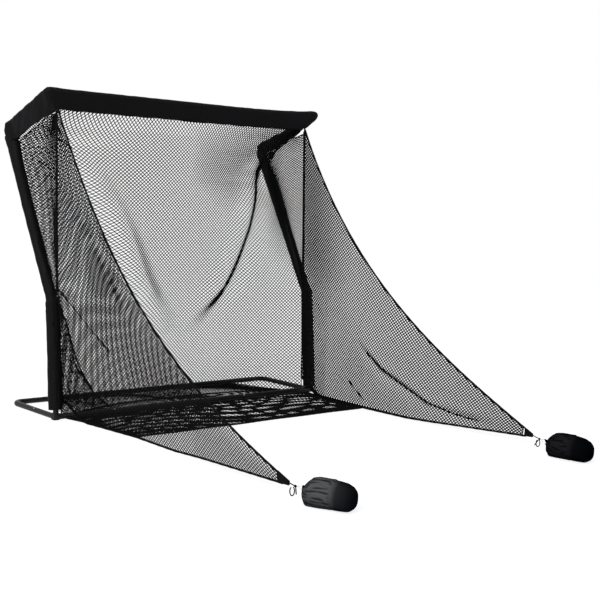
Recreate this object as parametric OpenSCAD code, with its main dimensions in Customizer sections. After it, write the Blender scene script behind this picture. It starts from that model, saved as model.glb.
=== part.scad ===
// Golf chipping net: a push-button tube frame with padded sleeves, a hung main net,
// side nets, floor nets and two side barriers drawn forward to sandbags.

/* [Frame] */
// Distance between the centre lines of the two side frames at the floor
net_w = 2384; // [2200:4:2600]
// How much further out each end of the crossbar stands
top_flare = 46; // [20:2:60]
// Outside diameter of the frame tube
tube_d = 38; // [36:1:40]
// Wall of the frame tube
tube_wall = 1.5; // [1.2:0.1:2]
// Height of the crossbar's centre line
top_z = 2246; // [2200:2:2300]
// How far the crossbar stands behind the feet
top_y = 143; // [120:1:160]
// Height of the rear bend
bend_z = 2006; // [1980:2:2040]
// How far the rear bend stands behind the feet
bend_y = 786; // [740:2:820]
// Height of the elbow where the uprights start to lean back
elbow_z = 824; // [780:2:860]
// How far the elbow stands behind the feet
elbow_y = 92; // [80:1:110]
// Depth of the base, from the feet to the rear bar
base_depth = 595; // [560:5:660]

/* [Sleeves] */
// Thickness of the foam and cloth sleeve over the top tubes
sleeve_t = 52; // [50:1:56]
// Height of the sleeve's hanging skirt over the crossbar
skirt_h = 144; // [120:2:150]
// Diameter of the sleeve on the leaning part of each upright
upper_sleeve_d = 80; // [76:1:84]
// Diameter of the sleeve on the lower part of each upright
lower_sleeve_d = 94; // [88:1:96]

/* [Nets] */
// Thickness of a hanging net
net_t = 6; // [5:0.5:8]
// How far the side barriers reach in front of the feet
barrier_reach = 2315; // [2200:5:2450]
// How far the floor apron reaches in front of the feet
apron_reach = 745; // [700:5:850]
// Where the main net meets the floor in the middle, behind the feet
net_foot_y = 300; // [240:10:340]
// Size of the soft fold that runs down from each rear bend
fold_size = 62; // [40:2:70]

/* [Sandbags] */
// Length of a filled bag
bag_l = 330; // [300:5:360]
// Width of a filled bag
bag_w = 200; // [190:5:220]
// Height of a filled bag
bag_h = 160; // [150:2:180]
// How far the left bag is turned to the right
left_bag_turn = 24; // [10:1:30]
// How far the right bag is turned to the right
right_bag_turn = 9; // [0:1:14]

/* [Hidden] */
$fn = 48;

// Sizes that follow from the driving dimensions
side_x = net_w / 2;
tube_r = tube_d / 2;
bore_r = tube_r - tube_wall;
spigot_r = bore_r - 0.2;
spigot_bore_r = spigot_r - tube_wall;
spigot_l = 70;
neck_l = 6;
// A bend swells a little, and the straights run a little way into it
bend_swell = 0.2;
bend_lap = 2;
rail_z = tube_r + bend_swell;
block_w = 46;
joint_gap = 0.5;
corner_r = 60;
bend_r = 80;
elbow_r = 90;

// Corner points of one side frame, on the right side
foot_p = [side_x, 0, rail_z];
block_top_p = [side_x, 0, block_w + 3];
elbow_p = [side_x, elbow_y, elbow_z];
bend_p = [side_x, bend_y, bend_z];
corner_p = [side_x + top_flare, top_y, top_z];
rear_p = [side_x, base_depth, rail_z];

function unit(v) = v / norm(v);
function between(a, b, share) = a + (b - a) * share;
function ahead(a, b, step) = a + unit(b - a) * step;

// Angles that turn the X axis to x and the Z axis to z
function turned(x, z) =
    let (y = cross(z, x))
    [atan2(y[2], z[2]), -asin(x[2]), atan2(x[1], x[0])];

// Any direction square to v
function square_to(v) = unit(abs(v[2]) < 0.9 ? cross(v, [0, 0, 1]) : cross(v, [1, 0, 0]));

// Joints between the tubes of one side
upright_joint_p = ahead(elbow_p, bend_p, 150);
arm_joint_p = ahead(bend_p, corner_p, 210);
corner_stub_x = corner_p[0] - 238;
side_joint_y = 237;
rear_joint_x = side_x / 2;
front_joint_left_x = -754;
front_joint_right_x = 447;
button_step = 35;

// Every button: name, centre on the tube's axis, direction along the tube, way it points
lean = unit(bend_p - elbow_p);
arm_way = unit(corner_p - bend_p);
arm_out = unit([1, 0, 0] - arm_way * arm_way[0]);
up_front = unit([0, -1, 1]);
up_back = unit([0, 1, 1]);
function flipped(v) = [-v[0], v[1], v[2]];
right_buttons = [
    ["side", [side_x, side_joint_y + button_step, rail_z], [0, 1, 0], unit([1, 0, 1])],
    ["rear", [rear_joint_x + button_step, base_depth, rail_z], [1, 0, 0], up_back],
    ["upright", ahead(upright_joint_p, bend_p, button_step), lean, [1, 0, 0]],
    ["arm", ahead(arm_joint_p, corner_p, button_step), arm_way, arm_out],
    ["corner", [corner_stub_x - button_step, top_y, top_z], [1, 0, 0], [0, -1, 0]]
];
front_buttons = [for (x = [front_joint_left_x, front_joint_right_x])
    ["front", [x + button_step, 0, rail_z], [1, 0, 0], up_front]];
crossbar_button = ["crossbar", [button_step, top_y, top_z], [1, 0, 0], [0, -1, 0]];
left_corner_button = ["corner", flipped(right_buttons[4][1]), [1, 0, 0], [0, -1, 0]];

// The origin is the middle of the whole outline on the floor
left_mouth = [-side_x + 26, -barrier_reach - 165];
right_mouth = [side_x - 158, -barrier_reach - 165];
bend_cover_r = upper_sleeve_d / 2 - 2;
bag_end_share = 0.52;
function bag_end_y(mouth, turn) =
    mouth[1] - bag_l * cos(turn) - bag_w / 2 * bag_end_share * sin(turn);
bag_front_y = min(bag_end_y(left_mouth, left_bag_turn), bag_end_y(right_mouth, right_bag_turn));
bend_back_y =
    bend_middle(elbow_p, bend_p, corner_p, bend_r)[1] + bend_r + bend_cover_r + bend_swell;
shift_y = -(bag_front_y + bend_back_y) / 2;

// Snap button and its spring
button_r = 4;
button_hole_r = 4.3;
button_rise = 4;
button_depth = 9;
spring_w = 8;
spring_t = 0.8;
spring_l = 52;
spring_opening = 15;
spring_angle = 15.5;
spring_ahead = 8;

// Rods and bent tubes
module rod(p, q, r) {
    way = unit(q - p);
    translate(p)
        rotate(turned(square_to(way), way))
            cylinder(h = norm(q - p), r = r);
}

// A bend at b between the straights to a and c: how far it reaches and where its centre is
function half_angle(a, b, c) = acos(unit(a - b) * unit(c - b)) / 2;
function bend_cut(a, b, c, bend_r) = bend_r / tan(half_angle(a, b, c));
function bend_middle(a, b, c, bend_r) =
    b + unit(unit(a - b) + unit(c - b)) * bend_r / sin(half_angle(a, b, c));
// Round rods through the bend at b, each with a straight before and after it: the X axis
// points out of the bend and the Y axis along the first straight
module bent_rod(a, b, c, bend_r, r, before, after) {
    centre = bend_middle(a, b, c, bend_r);
    out = ahead(b, a, bend_cut(a, b, c, bend_r)) - centre;
    turn = 180 - 2 * half_angle(a, b, c);
    translate(centre)
        rotate(turned(unit(out), unit(cross(out, b - a)))) {
            rotate_extrude(angle = turn)
                translate([bend_r, 0])
                    circle(r = r + bend_swell);
            if (before > 0)
                translate([bend_r, -before, 0])
                    rotate([-90, 0, 0])
                        cylinder(h = before + bend_lap, r = r);
            if (after > 0)
                rotate([0, 0, turn])
                    translate([bend_r, -bend_lap, 0])
                        rotate([-90, 0, 0])
                            cylinder(h = after + bend_lap, r = r);
        }
}

// A tube through two or three points, with a round bend at the middle one
module tube_path(points, bend_r, r) {
    if (len(points) == 2) {
        rod(points[0], points[1], r);
    } else {
        cut = bend_cut(points[0], points[1], points[2], bend_r);
        before = norm(points[1] - points[0]) - cut;
        after = norm(points[2] - points[1]) - cut;
        bent_rod(points[0], points[1], points[2], bend_r, r, before, after);
    }
}

// A steel section: open bore, and a swaged spigot past its last point where wanted
module section(points, bend_r, spigot = true) {
    last = len(points) - 1;
    end = points[last];
    way = unit(end - points[last - 1]);
    start_way = unit(points[0] - points[1]);
    tip = end + way * spigot_l;
    bends = last > 1 ? [for (i = [1 : last - 1]) points[i]] : [];
    outer = concat([points[0]], bends, [end - way * joint_gap]);
    inner = concat([points[0] + start_way], bends, [end - way * neck_l]);
    difference() {
        union() {
            tube_path(outer, bend_r, tube_r);
            if (spigot) rod(end - way * neck_l, tip, spigot_r);
        }
        tube_path(inner, bend_r, bore_r);
        if (spigot) rod(end - way * (neck_l + 2), tip + way, spigot_bore_r);
        if (!spigot) rod(end - way * (neck_l + 2), tip, bore_r);
        children();
    }
}

module at_button(b) {
    translate(b[1])
        rotate(turned(b[2], b[3]))
            children();
}
module button_hole(b) {
    at_button(b) cylinder(h = tube_r + 2, r = button_hole_r, $fn = 32);
}
module button(b) {
    color("gainsboro")
        at_button(b) {
            translate([0, 0, tube_r + button_rise - button_depth])
                cylinder(h = button_depth - 1, r = button_r, $fn = 32);
            translate([0, 0, tube_r + button_rise - 1])
                cylinder(h = 1, r1 = button_r, r2 = button_r - 1, $fn = 32);
        }
}
// A leaf folded to a V, lying inside the tube
module spring(b) {
    tip = spring_l * [cos(spring_angle), sin(spring_angle)] + [0, 2 * spring_t];
    at_button(b)
        translate([spring_ahead - spring_l, spring_w / 2, -spring_opening / 2])
            rotate([90, 0, 0])
                linear_extrude(height = spring_w)
                    polygon([
                        [0, 0], [spring_l, 0], [spring_l, spring_t],
                        [spring_t * tan(spring_angle / 2), spring_t],
                        tip + spring_t * [sin(spring_angle), -cos(spring_angle)],
                        tip, [0, 2 * spring_t]
                    ]);
}

// The right side as it is, or mirrored for the left side; the netting is drawn out by hand,
// so its corners are a little different on each side
module sided(s) {
    $left = s < 0;
    if ($left) mirror([1, 0, 0]) children();
    else children();
}
function pick(pair) = $left ? pair[0] : pair[1];

// Base
block_chamfer = 5;
block_spigot_l = 50;
module foot_block() {
    half = block_w / 2;
    reach = half + block_spigot_l;
    upright_way = unit(elbow_p - block_top_p);
    upright_tip = block_top_p + upright_way * block_spigot_l;
    color([0.12, 0.12, 0.13])
        difference() {
            union() {
                translate([side_x, 0, 0])
                    linear_extrude(height = block_w)
                        intersection() {
                            square(block_w, center = true);
                            rotate(45) square((block_w - block_chamfer) * sqrt(2), center = true);
                        }
                rod(foot_p, foot_p - [reach, 0, 0], spigot_r);
                rod(foot_p, foot_p + [0, reach, 0], spigot_r);
                rod(block_top_p - upright_way * half / 2, upright_tip, spigot_r);
            }
            rod(foot_p - [half, 0, 0], foot_p - [reach + 1, 0, 0], spigot_bore_r);
            rod(foot_p + [0, half, 0], foot_p + [0, reach + 1, 0], spigot_bore_r);
            rod(block_top_p, upright_tip + upright_way, spigot_bore_r);
        }
}
module side_rail() {
    color([0.08, 0.08, 0.09])
        section([[side_x, block_w / 2 + joint_gap, rail_z], [side_x, side_joint_y, rail_z]], 0)
            button_hole(right_buttons[0]);
}
module rear_corner() {
    color([0.08, 0.08, 0.09])
        section([[side_x, side_joint_y, rail_z], rear_p, [rear_joint_x, base_depth, rail_z]], 70, false) {
            button_hole(right_buttons[0]);
            button_hole(right_buttons[1]);
        }
}
module rear_bar() {
    color([0.08, 0.08, 0.09])
        union() {
            section([[0, base_depth, rail_z], [rear_joint_x, base_depth, rail_z]], 0)
                button_hole(right_buttons[1]);
            mirror([1, 0, 0])
                section([[0, base_depth, rail_z], [rear_joint_x, base_depth, rail_z]], 0)
                    button_hole(right_buttons[1]);
        }
}
module front_bar_left() {
    color([0.08, 0.08, 0.09])
        section([[-side_x + block_w / 2 + joint_gap, 0, rail_z], [front_joint_left_x, 0, rail_z]], 0)
            button_hole(front_buttons[0]);
}
module front_bar_middle() {
    color([0.08, 0.08, 0.09])
        section([[front_joint_left_x, 0, rail_z], [front_joint_right_x, 0, rail_z]], 0) {
            button_hole(front_buttons[0]);
            button_hole(front_buttons[1]);
        }
}
module front_bar_right() {
    color([0.08, 0.08, 0.09])
        section([[front_joint_right_x, 0, rail_z], [side_x - block_w / 2, 0, rail_z]], 0, false)
            button_hole(front_buttons[1]);
}

// Uprights, arms and crossbar
module lower_upright() {
    color([0.35, 0.36, 0.38])
        section([block_top_p, elbow_p, upright_joint_p], elbow_r)
            button_hole(right_buttons[2]);
}
module upper_upright() {
    color([0.1, 0.1, 0.11])
        section([upright_joint_p, bend_p, arm_joint_p], bend_r) {
            button_hole(right_buttons[2]);
            button_hole(right_buttons[3]);
        }
}
module arm() {
    color([0.1, 0.1, 0.11])
        section([arm_joint_p, corner_p, [corner_stub_x, top_y, top_z]], corner_r) {
            button_hole(right_buttons[3]);
            button_hole(right_buttons[4]);
        }
}
module crossbar_left() {
    color([0.1, 0.1, 0.11])
        section([[-corner_stub_x, top_y, top_z], [0, top_y, top_z]], 0) {
            button_hole(left_corner_button);
            button_hole(crossbar_button);
        }
}
module crossbar_right() {
    color([0.1, 0.1, 0.11])
        section([[0, top_y, top_z], [corner_stub_x, top_y, top_z]], 0, false) {
            button_hole(right_buttons[4]);
            button_hole(crossbar_button);
        }
}
module snap_springs() {
    color("silver") {
        for (b = right_buttons, s = [-1, 1])
            sided(s) spring(b);
        spring(front_buttons[0]);
        spring(front_buttons[1]);
        spring(crossbar_button);
    }
}

// Foam and cloth sleeves
foam_in_r = tube_r + 0.5;
cloth_gap = 0.4;
top_foam_r = sleeve_t / 2 - 1.6;
upper_foam_r = upper_sleeve_d / 2 - 2;
lower_foam_r = lower_sleeve_d / 2 - 2;
bend_reach = bend_cut(elbow_p, bend_p, corner_p, bend_r) + 2;
elbow_reach = bend_cut(block_top_p, elbow_p, bend_p, elbow_r) + 2;
sleeve_bottom_z = 92;

// A straight length between two points, short of both by the given amounts
function shortened(p, q, cut_p, cut_q) = [ahead(p, q, cut_p), ahead(q, p, cut_q)];
crossbar_run = shortened(flipped(corner_p), corner_p, corner_r + 2, corner_r + 2);
arm_run = shortened(corner_p, bend_p, corner_r + 6, bend_reach);
upper_run = shortened(bend_p, elbow_p, bend_reach, elbow_reach + 4);
lower_run = shortened(elbow_p, block_top_p, elbow_reach, sleeve_bottom_z - block_top_p[2]);

module foam_run(run, r) {
    difference() {
        rod(ahead(run[0], run[1], 3), ahead(run[1], run[0], 3), r);
        rod(run[0], run[1], foam_in_r);
        children();
    }
}
module button_pocket(b) {
    at_button(b) cylinder(h = tube_r + 12, r = 8, $fn = 32);
}
module foam_padding() {
    color("dimgray") {
        foam_run(crossbar_run, top_foam_r) {
            button_pocket(right_buttons[4]);
            sided(-1) button_pocket(right_buttons[4]);
            button_pocket(crossbar_button);
        }
        for (s = [-1, 1])
            sided(s) {
                foam_run(arm_run, top_foam_r) button_pocket(right_buttons[3]);
                foam_run(upper_run, upper_foam_r) button_pocket(right_buttons[2]);
                foam_run(lower_run, lower_foam_r);
            }
    }
}

// A cloth skirt: round over the tube, drawn down to a thin bottom edge
skirt_edge_r = 7;
arm_skirt_h = 112;
module skirt_outline(height) {
    hull() {
        circle(r = sleeve_t / 2);
        translate([0, sleeve_t / 2 + skirt_edge_r - height])
            circle(r = skirt_edge_r);
    }
}
module skirt_run(run, height) {
    way = unit(run[1] - run[0]);
    translate(run[0])
        rotate(turned(unit(cross([0, 0, 1], way)), way))
            linear_extrude(height = norm(run[1] - run[0]))
                difference() {
                    skirt_outline(height);
                    circle(r = top_foam_r + cloth_gap);
                }
}
// The crossbar's sleeve goes round both bends to the arms, and its skirt hangs on below them
module crossbar_sleeve() {
    flap_top = top_z - sleeve_t / 2;
    flap_h = skirt_h - sleeve_t;
    flap_l = corner_r + sleeve_t / 2 + 2;
    color([0.05, 0.05, 0.06])
        union() {
            skirt_run(crossbar_run, skirt_h);
            for (s = [-1, 1])
                sided(s) {
                    difference() {
                        bent_rod([0, top_y, top_z], corner_p, bend_p, corner_r, sleeve_t / 2 - 1, 0, 0);
                        tube_path([[corner_stub_x, top_y, top_z], corner_p, bend_p], corner_r, foam_in_r);
                    }
                    translate([crossbar_run[1][0] - 1, top_y - skirt_edge_r, flap_top - flap_h])
                        cube([flap_l, 2 * skirt_edge_r, flap_h]);
                }
        }
}
module arm_sleeve() {
    color([0.16, 0.16, 0.17])
        skirt_run(arm_run, arm_skirt_h);
}
// The sleeve of a leaning upright runs round the rear bend
module upper_sleeve() {
    start = ahead(bend_p, elbow_p, bend_reach - 3);
    color([0.08, 0.08, 0.09])
        difference() {
            union() {
                rod(start, ahead(elbow_p, bend_p, elbow_reach), upper_sleeve_d / 2);
                bent_rod(elbow_p, bend_p, corner_p, bend_r, bend_cover_r, 0, 0);
            }
            tube_path([elbow_p, bend_p, corner_p], bend_r, foam_in_r);
            rod(upper_run[0], ahead(elbow_p, bend_p, elbow_reach - 1), upper_foam_r + cloth_gap);
        }
}
module lower_sleeve() {
    color([0.08, 0.08, 0.09])
        difference() {
            rod(ahead(elbow_p, block_top_p, elbow_reach - 3), lower_run[1], lower_sleeve_d / 2);
            rod(elbow_p, block_top_p, foam_in_r);
            rod(lower_run[0], ahead(lower_run[1], elbow_p, -1), lower_foam_r + cloth_gap);
        }
}

// Sheets: a closed skin through a grid of points and the same grid moved by a thickness.
// Every second cell of every second row is open in the first open_cols columns.
// rim_first lists the faces from the rim inwards
module sheet(front, back, open_cols = 0, rim_first = false) {
    rows = len(front);
    cols = len(front[0]);
    count = rows * cols;
    function is_open(i, j) = i % 2 == 1 && j % 2 == 1 && j < open_cols;
    function wall(a, b) = [[a, b, count + a], [b, count + b, count + a]];
    points = concat([for (r = front) each r], [for (r = back) each r]);
    function at(i, j) = i * cols + j;
    rim = concat(
        [for (j = [0 : cols - 2]) at(0, j)],
        [for (i = [0 : rows - 2]) at(i, cols - 1)],
        [for (j = [cols - 1 : -1 : 1]) at(rows - 1, j)],
        [for (i = [rows - 1 : -1 : 1]) at(i, 0)]
    );
    solid = [for (i = [0 : rows - 2], j = [0 : cols - 2]) if (!is_open(i, j)) [i, j]];
    faces = concat(
        [for (c = solid) let (i = c[0], j = c[1]) each
            [[at(i, j), at(i, j + 1), at(i + 1, j + 1)], [at(i, j), at(i + 1, j + 1), at(i + 1, j)]]],
        [for (c = solid) let (i = c[0], j = c[1]) each
            [[count + at(i + 1, j + 1), count + at(i, j + 1), count + at(i, j)],
             [count + at(i + 1, j), count + at(i + 1, j + 1), count + at(i, j)]]],
        [for (i = [0 : rows - 2], j = [0 : cols - 2]) if (is_open(i, j)) each concat(
            wall(at(i, j), at(i, j + 1)), wall(at(i, j + 1), at(i + 1, j + 1)),
            wall(at(i + 1, j + 1), at(i + 1, j)), wall(at(i + 1, j), at(i, j)))],
        [for (k = [0 : len(rim) - 1]) let (a = rim[k], b = rim[(k + 1) % len(rim)]) each
            [[a, count + a, b], [b, count + a, count + b]]]
    );
    polyhedron(points = points, faces = rim_first ? backwards(faces) : faces);
}
// The two edges of a bar at each centre
function bars(centres, half) = [for (c = centres) each [max(0, c - half), min(1, c + half)]];
function linear(x, table, i = 0) =
    i >= len(table) - 2 || x <= table[i + 1][0]
        ? let (a = table[i], b = table[i + 1])
          a[1] + (b[1] - a[1]) * (x - a[0]) / (b[0] - a[0])
        : linear(x, table, i + 1);

// Main net: hung from the crossbar, pulled back at both sides by the leaning frames,
// with a soft fold down from each rear bend, and running forward along the floor
main_top_z = top_z - skirt_h + sleeve_t / 2 - 3;
half_w_line = [[0, side_x - 62], [elbow_z, side_x - 54], [bend_z - 112, side_x - 52],
    [main_top_z, side_x - 22]];
main_floor_share = 0.13;
main_front_y = 26;
main_floor_z = 4 + net_t / 2;
edge_profile = [
    [0, main_front_y], [elbow_z, elbow_y], [bend_z - 112, bend_y - 52], [main_top_z, top_y]
];
fold_w = 110;
fold_line = [[0, 200], [680, 310], [980, 555], [1740, 830], [1950, 1010]];
function middle_y(z) = top_y + (net_foot_y - top_y) * pow(1 - z / main_top_z, 1.2);
function fold(x, z) =
    let (g = (abs(x) - linear(z, fold_line)) / fold_w,
         edge_w = linear(z, half_w_line) - abs(x),
         fade = min(1, z / 500) * min(1, (main_top_z - z) / 250) * min(1, edge_w / 120))
    fold_size * fade * g * exp((1 - g * g) / 2);
function hung_y(x, z) =
    let (share = pow(abs(x) / linear(z, half_w_line), 2.6))
    middle_y(z) + (linear(z, edge_profile) - middle_y(z)) * share + fold(x, z);
function main_point(u, s, off) =
    s < 1 - main_floor_share
        ? let (t = s / (1 - main_floor_share),
               z = main_top_z * (1 - t) + main_floor_z * t,
               x = u * linear(z, half_w_line))
          [x, hung_y(x, z) + off * (1 - 0.3 * t), z + off * 0.3 * t]
        : let (t = (s - 1 + main_floor_share) / main_floor_share,
               x = u * half_w_line[0][1],
               y = hung_y(x, 0) * (1 - t) + main_front_y * t)
          [x, y + off * 0.7 * (1 - t), main_floor_z + off * (0.3 + 0.7 * t)];
main_cols = bars([for (i = [0 : 12]) i / 12], 0.005);
main_rows = bars(concat([for (i = [0 : 10]) (1 - main_floor_share) * i / 10], [0.935, 1]), 0.005);
function main_grid(off) = [for (s = main_rows) [for (u = main_cols) main_point(2 * u - 1, s, off)]];
module main_net() {
    color([0.1, 0.1, 0.11])
        sheet(main_grid(-net_t / 2), main_grid(net_t / 2), len(main_cols), rim_first = true);
}

// Side net: stretched between the front edge rope, the underside of the arm's sleeve
// and the front of the leaning upright
edge_rope_r = 7;
edge_gap = 3;
rope_top_y = top_y - 35;
rope_top_z = main_top_z - 16;
rope_bottom_z = elbow_z + 34;
function rope_top() = [side_x - pick([2, 56]), rope_top_y, rope_top_z];
function rope_bottom() = [side_x - pick([8, 70]), elbow_y - 46, rope_bottom_z];
front_of_lean = [0, -lean[2], lean[1]] * (upper_sleeve_d / 2 + edge_gap);
under_arm = -unit(cross(arm_way, [1, 0, 0])) * (arm_skirt_h - sleeve_t / 2 + edge_gap);

// Where the line from p along way is at the height z
function at_z(p, way, z) = p + way * (z - p[2]) / way[2];
inner_p = let (p = bend_p + under_arm, d = front_of_lean - under_arm,
        t = (d[1] * lean[2] - d[2] * lean[1]) / (arm_way[1] * lean[2] - arm_way[2] * lean[1]))
    p + arm_way * t;
side_rows = 12;
side_top_z = rope_top_z - edge_gap;
side_bottom_z = rope_bottom_z + 2 * edge_gap;
function side_front(z) =
    at_z(rope_bottom(), rope_top() - rope_bottom(), z) + [0, edge_rope_r + edge_gap, 0];
function side_back(z) =
    z < inner_p[2] ? at_z(inner_p, lean, z) : at_z(inner_p, arm_way, z);
module side_net() {
    levels = concat(
        [for (i = [0 : 3]) side_top_z + (inner_p[2] - side_top_z) * i / 4],
        [for (i = [0 : side_rows]) inner_p[2] + (side_bottom_z - inner_p[2]) * i / side_rows]
    );
    function grid(off) = [for (z = levels) [side_back(z) + [off, 0, 0], side_front(z) + [off, 0, 0]]];
    color([0.3, 0.3, 0.32])
        sheet(grid(-net_t / 2), grid(net_t / 2));
}

// Side barrier: from the front edge of the side frame to its tip beside the sandbag
barrier_top_z = top_z - 96;
barrier_top_y = top_y - 48;
barrier_tip_z = 84;
tip_l = 62;
function tip_x() = side_x - pick([60, 32]);
function tip_y() = -barrier_reach + pick([-30, 40]);
function barrier_front_y() = tip_y() + tip_l + 14;

// Share of the way from the tip (0) to the crossbar (1)
function reach_share(y) = (y - tip_y()) / (barrier_top_y - tip_y());
function barrier_top(y) =
    let (b = reach_share(y), back_x = side_x + pick([6, -64]))
    [tip_x() + (back_x - tip_x()) * b, y,
     barrier_tip_z + (barrier_top_z - barrier_tip_z) * (0.45 * b + 0.15 * b * b + 0.4 * b * b * b)];
function ground_x_line() = [[tip_y(), tip_x()], [-1430, side_x - pick([130, 114])],
    [-750, side_x - pick([150, 124])], [-300, side_x - 110], [40, side_x - 62]];
hem_rise_y = [-229, -45];
function ground_z_line() = [[tip_y(), barrier_tip_z - 16], [-1580, 34], [-1200, 14], [hem_rise_y[0], 14],
    [hem_rise_y[1], 122], [40, 124]];
function barrier_ground(y) = [linear(y, ground_x_line()), y, linear(y, ground_z_line())];
barrier_back_line = [[0, 28], [rope_bottom_z, 28], [rope_top_z, rope_top_y - 16]];
barrier_cols = bars([0, 0.085, 0.17, 0.26, 0.35, 0.44, 0.53, 0.62, 0.71, 0.8, 0.888, 0.968, 1], 0.006);
barrier_rows = bars([for (i = [0 : 6]) i / 6], 0.008);
barrier_closed = 3;
barrier_bulge = 46;

// A point of the barrier: b runs from the tip to the back edge, t from the floor to the top
function barrier_point(b, t, off) =
    let (rough_z = t * barrier_top_z,
         y = barrier_front_y() + (linear(rough_z, barrier_back_line) - barrier_front_y()) * b,
         r = reach_share(y),
         hi = barrier_top(y) - [0, 0, 11 + 15 * r * r],
         lo = barrier_ground(y) + [0, 0, 10])
    between(lo, hi, t) + [off - barrier_bulge * sin(180 * t) * sin(180 * b), 0, 0];
function backwards(list) = [for (i = [len(list) - 1 : -1 : 0]) list[i]];
function barrier_grid(off) =
    [for (t = backwards(barrier_rows)) [for (b = backwards(barrier_cols)) barrier_point(b, t, off)]];
module barrier_net() {
    color([0.25, 0.25, 0.27])
        sheet(barrier_grid(-net_t / 2), barrier_grid(net_t / 2), len(barrier_cols) - 1 - barrier_closed);
}

// Ropes sewn along the net edges
rope_sides = 8;
module rope(points, radius) {
    last = len(points) - 1;
    rings = [for (i = [0 : last])
        let (way = unit(points[min(i + 1, last)] - points[max(i - 1, 0)]),
             side = unit(cross(way, abs(way[0]) < 0.9 ? [1, 0, 0] : [0, 0, 1])),
             up = cross(side, way))
        [for (k = [0 : rope_sides - 1])
            points[i] + radius * (side * cos(360 * k / rope_sides) + up * sin(360 * k / rope_sides))]];
    faces = concat(
        [[for (k = [rope_sides - 1 : -1 : 0]) k]],
        [[for (k = [0 : rope_sides - 1]) last * rope_sides + k]],
        [for (i = [0 : last - 1], k = [0 : rope_sides - 1])
            let (n = (k + 1) % rope_sides, a = i * rope_sides, b = a + rope_sides)
            each [[a + k, a + n, b + n], [a + k, b + n, b + k]]]
    );
    polyhedron(points = [for (r = rings) each r], faces = faces);
}
module edge_rope() {
    color([0.05, 0.05, 0.06])
        rod(rope_top(), rope_bottom(), edge_rope_r);
}
barrier_rope_r = 6;
rope_steps = 24;
hem_drop = 14 - barrier_rope_r;
hem_back_y = 16;
module barrier_rope() {
    start_y = tip_y() + tip_l;
    top = [for (i = [0 : rope_steps]) barrier_top(start_y + (barrier_top_y - start_y) * i / rope_steps)];
    low_ys = concat([for (i = [0 : rope_steps]) start_y + (hem_rise_y[0] - start_y) * i / rope_steps],
        [hem_rise_y[1], hem_back_y]);
    low = [for (y = low_ys) barrier_ground(y) - [0, 0, hem_drop]];
    color([0.05, 0.05, 0.06]) {
        rope(top, barrier_rope_r);
        rope(low, barrier_rope_r);
        hull() {
            translate(top[0]) sphere(r = barrier_rope_r + 1, $fn = 16);
            translate(low[0]) sphere(r = barrier_rope_r + 1, $fn = 16);
            translate([tip_x(), tip_y() + 9, barrier_tip_z - 6]) sphere(r = 9, $fn = 16);
        }
    }
}

// Floor nets
apron_edge = [[side_x - 92, -26], [side_x - 130, -300], [side_x - 162, 8 - apron_reach]];
hem_r = 7;
module apron_net() {
    left = [for (i = [len(apron_edge) - 1 : -1 : 0]) [-apron_edge[i][0], apron_edge[i][1]]];
    color([0.1, 0.1, 0.11])
        linear_extrude(height = net_t)
            polygon(concat(apron_edge, left));
}
module apron_hem() {
    x = apron_edge[2][0] - 4;
    color([0.05, 0.05, 0.06])
        rod([-x, -apron_reach, hem_r], [x, -apron_reach, hem_r], hem_r);
}
module floor_net() {
    front_x = side_x - 60;
    back_x = side_x - 320;
    front = main_front_y - 2;
    back = base_depth - tube_r - 2;
    color([0.2, 0.2, 0.21])
        linear_extrude(height = 3)
            polygon([[-front_x, front], [front_x, front], [back_x, back], [-back_x, back]]);
}
bungee_z = 76;
bungee_r = 2.5;
module foot_bungees() {
    share = (bungee_z - block_top_p[2]) / (elbow_z - block_top_p[2]);
    color([0.75, 0.77, 0.8])
        for (s = [-1, 1])
            translate([s * side_x, elbow_y * share, bungee_z])
                rotate_extrude($fn = 32)
                    translate([tube_r + 2 + bungee_r, 0])
                        circle(r = bungee_r, $fn = 16);
}

// Sandbags: the filled cloth bag, the sand in it and the cord that ties it to the net
bag_floor = 1;
cord_r = 2;
left_cord_route = [
    [-1132, -2352, 78], [-1135, -2364, 79], [-1139, -2376, 80], [-1142, -2388, 79], [-1146, -2400, 78],
    [-1149, -2412, 77], [-1153, -2424, 77], [-1156, -2436, 77], [-1159, -2450, 77], [-1162, -2464, 77]
];
right_cord_route = [
    [1157, -2282, 78], [1150, -2296, 79], [1140, -2314, 80], [1129, -2334, 80], [1116, -2356, 79],
    [1103, -2378, 78], [1089, -2400, 77], [1076, -2422, 77], [1064, -2442, 77], [1052, -2462, 77]
];
bag_sections = [[0, 0.24], [0.05, 0.5], [0.2, 0.84], [0.45, 1], [0.75, 0.98], [0.92, 0.8],
    [1, bag_end_share]];
bag_sides = 24;
module at_bag(s) {
    translate(concat(s < 0 ? left_mouth : right_mouth, 0))
        rotate([0, 0, s < 0 ? left_bag_turn : right_bag_turn])
            children();
}
// Rounded outline of the bag across its length, flat below
function bag_ring(share, size, inset) =
    [for (k = [0 : bag_sides - 1])
        let (a = 360 * k / bag_sides,
             w = bag_w / 2 * size - inset,
             h = bag_h / 2 * size - inset,
             mid = bag_h / 2 * (0.86 + 0.12 * size),
             z = mid + h * sign(sin(a)) * pow(abs(sin(a)), 0.85))
        [w * sign(cos(a)) * pow(abs(cos(a)), 0.85), -share * bag_l, max(z, bag_floor + inset)]];
module bag_form(inset) {
    last = len(bag_sections) - 1;
    rings = [for (i = [0 : last])
        let (share = bag_sections[i][0],
             moved = i == 0 ? share + inset / bag_l : i == last ? share - inset / bag_l : share)
        bag_ring(moved, bag_sections[i][1], inset)];
    faces = concat(
        [[for (k = [0 : bag_sides - 1]) k]],
        [[for (k = [bag_sides - 1 : -1 : 0]) last * bag_sides + k]],
        [for (i = [0 : last - 1], k = [0 : bag_sides - 1])
            let (n = (k + 1) % bag_sides, a = i * bag_sides, b = a + bag_sides)
            each [[a + k, b + n, a + n], [a + k, b + k, b + n]]]
    );
    polyhedron(points = [for (r = rings) each r], faces = faces);
}
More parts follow.
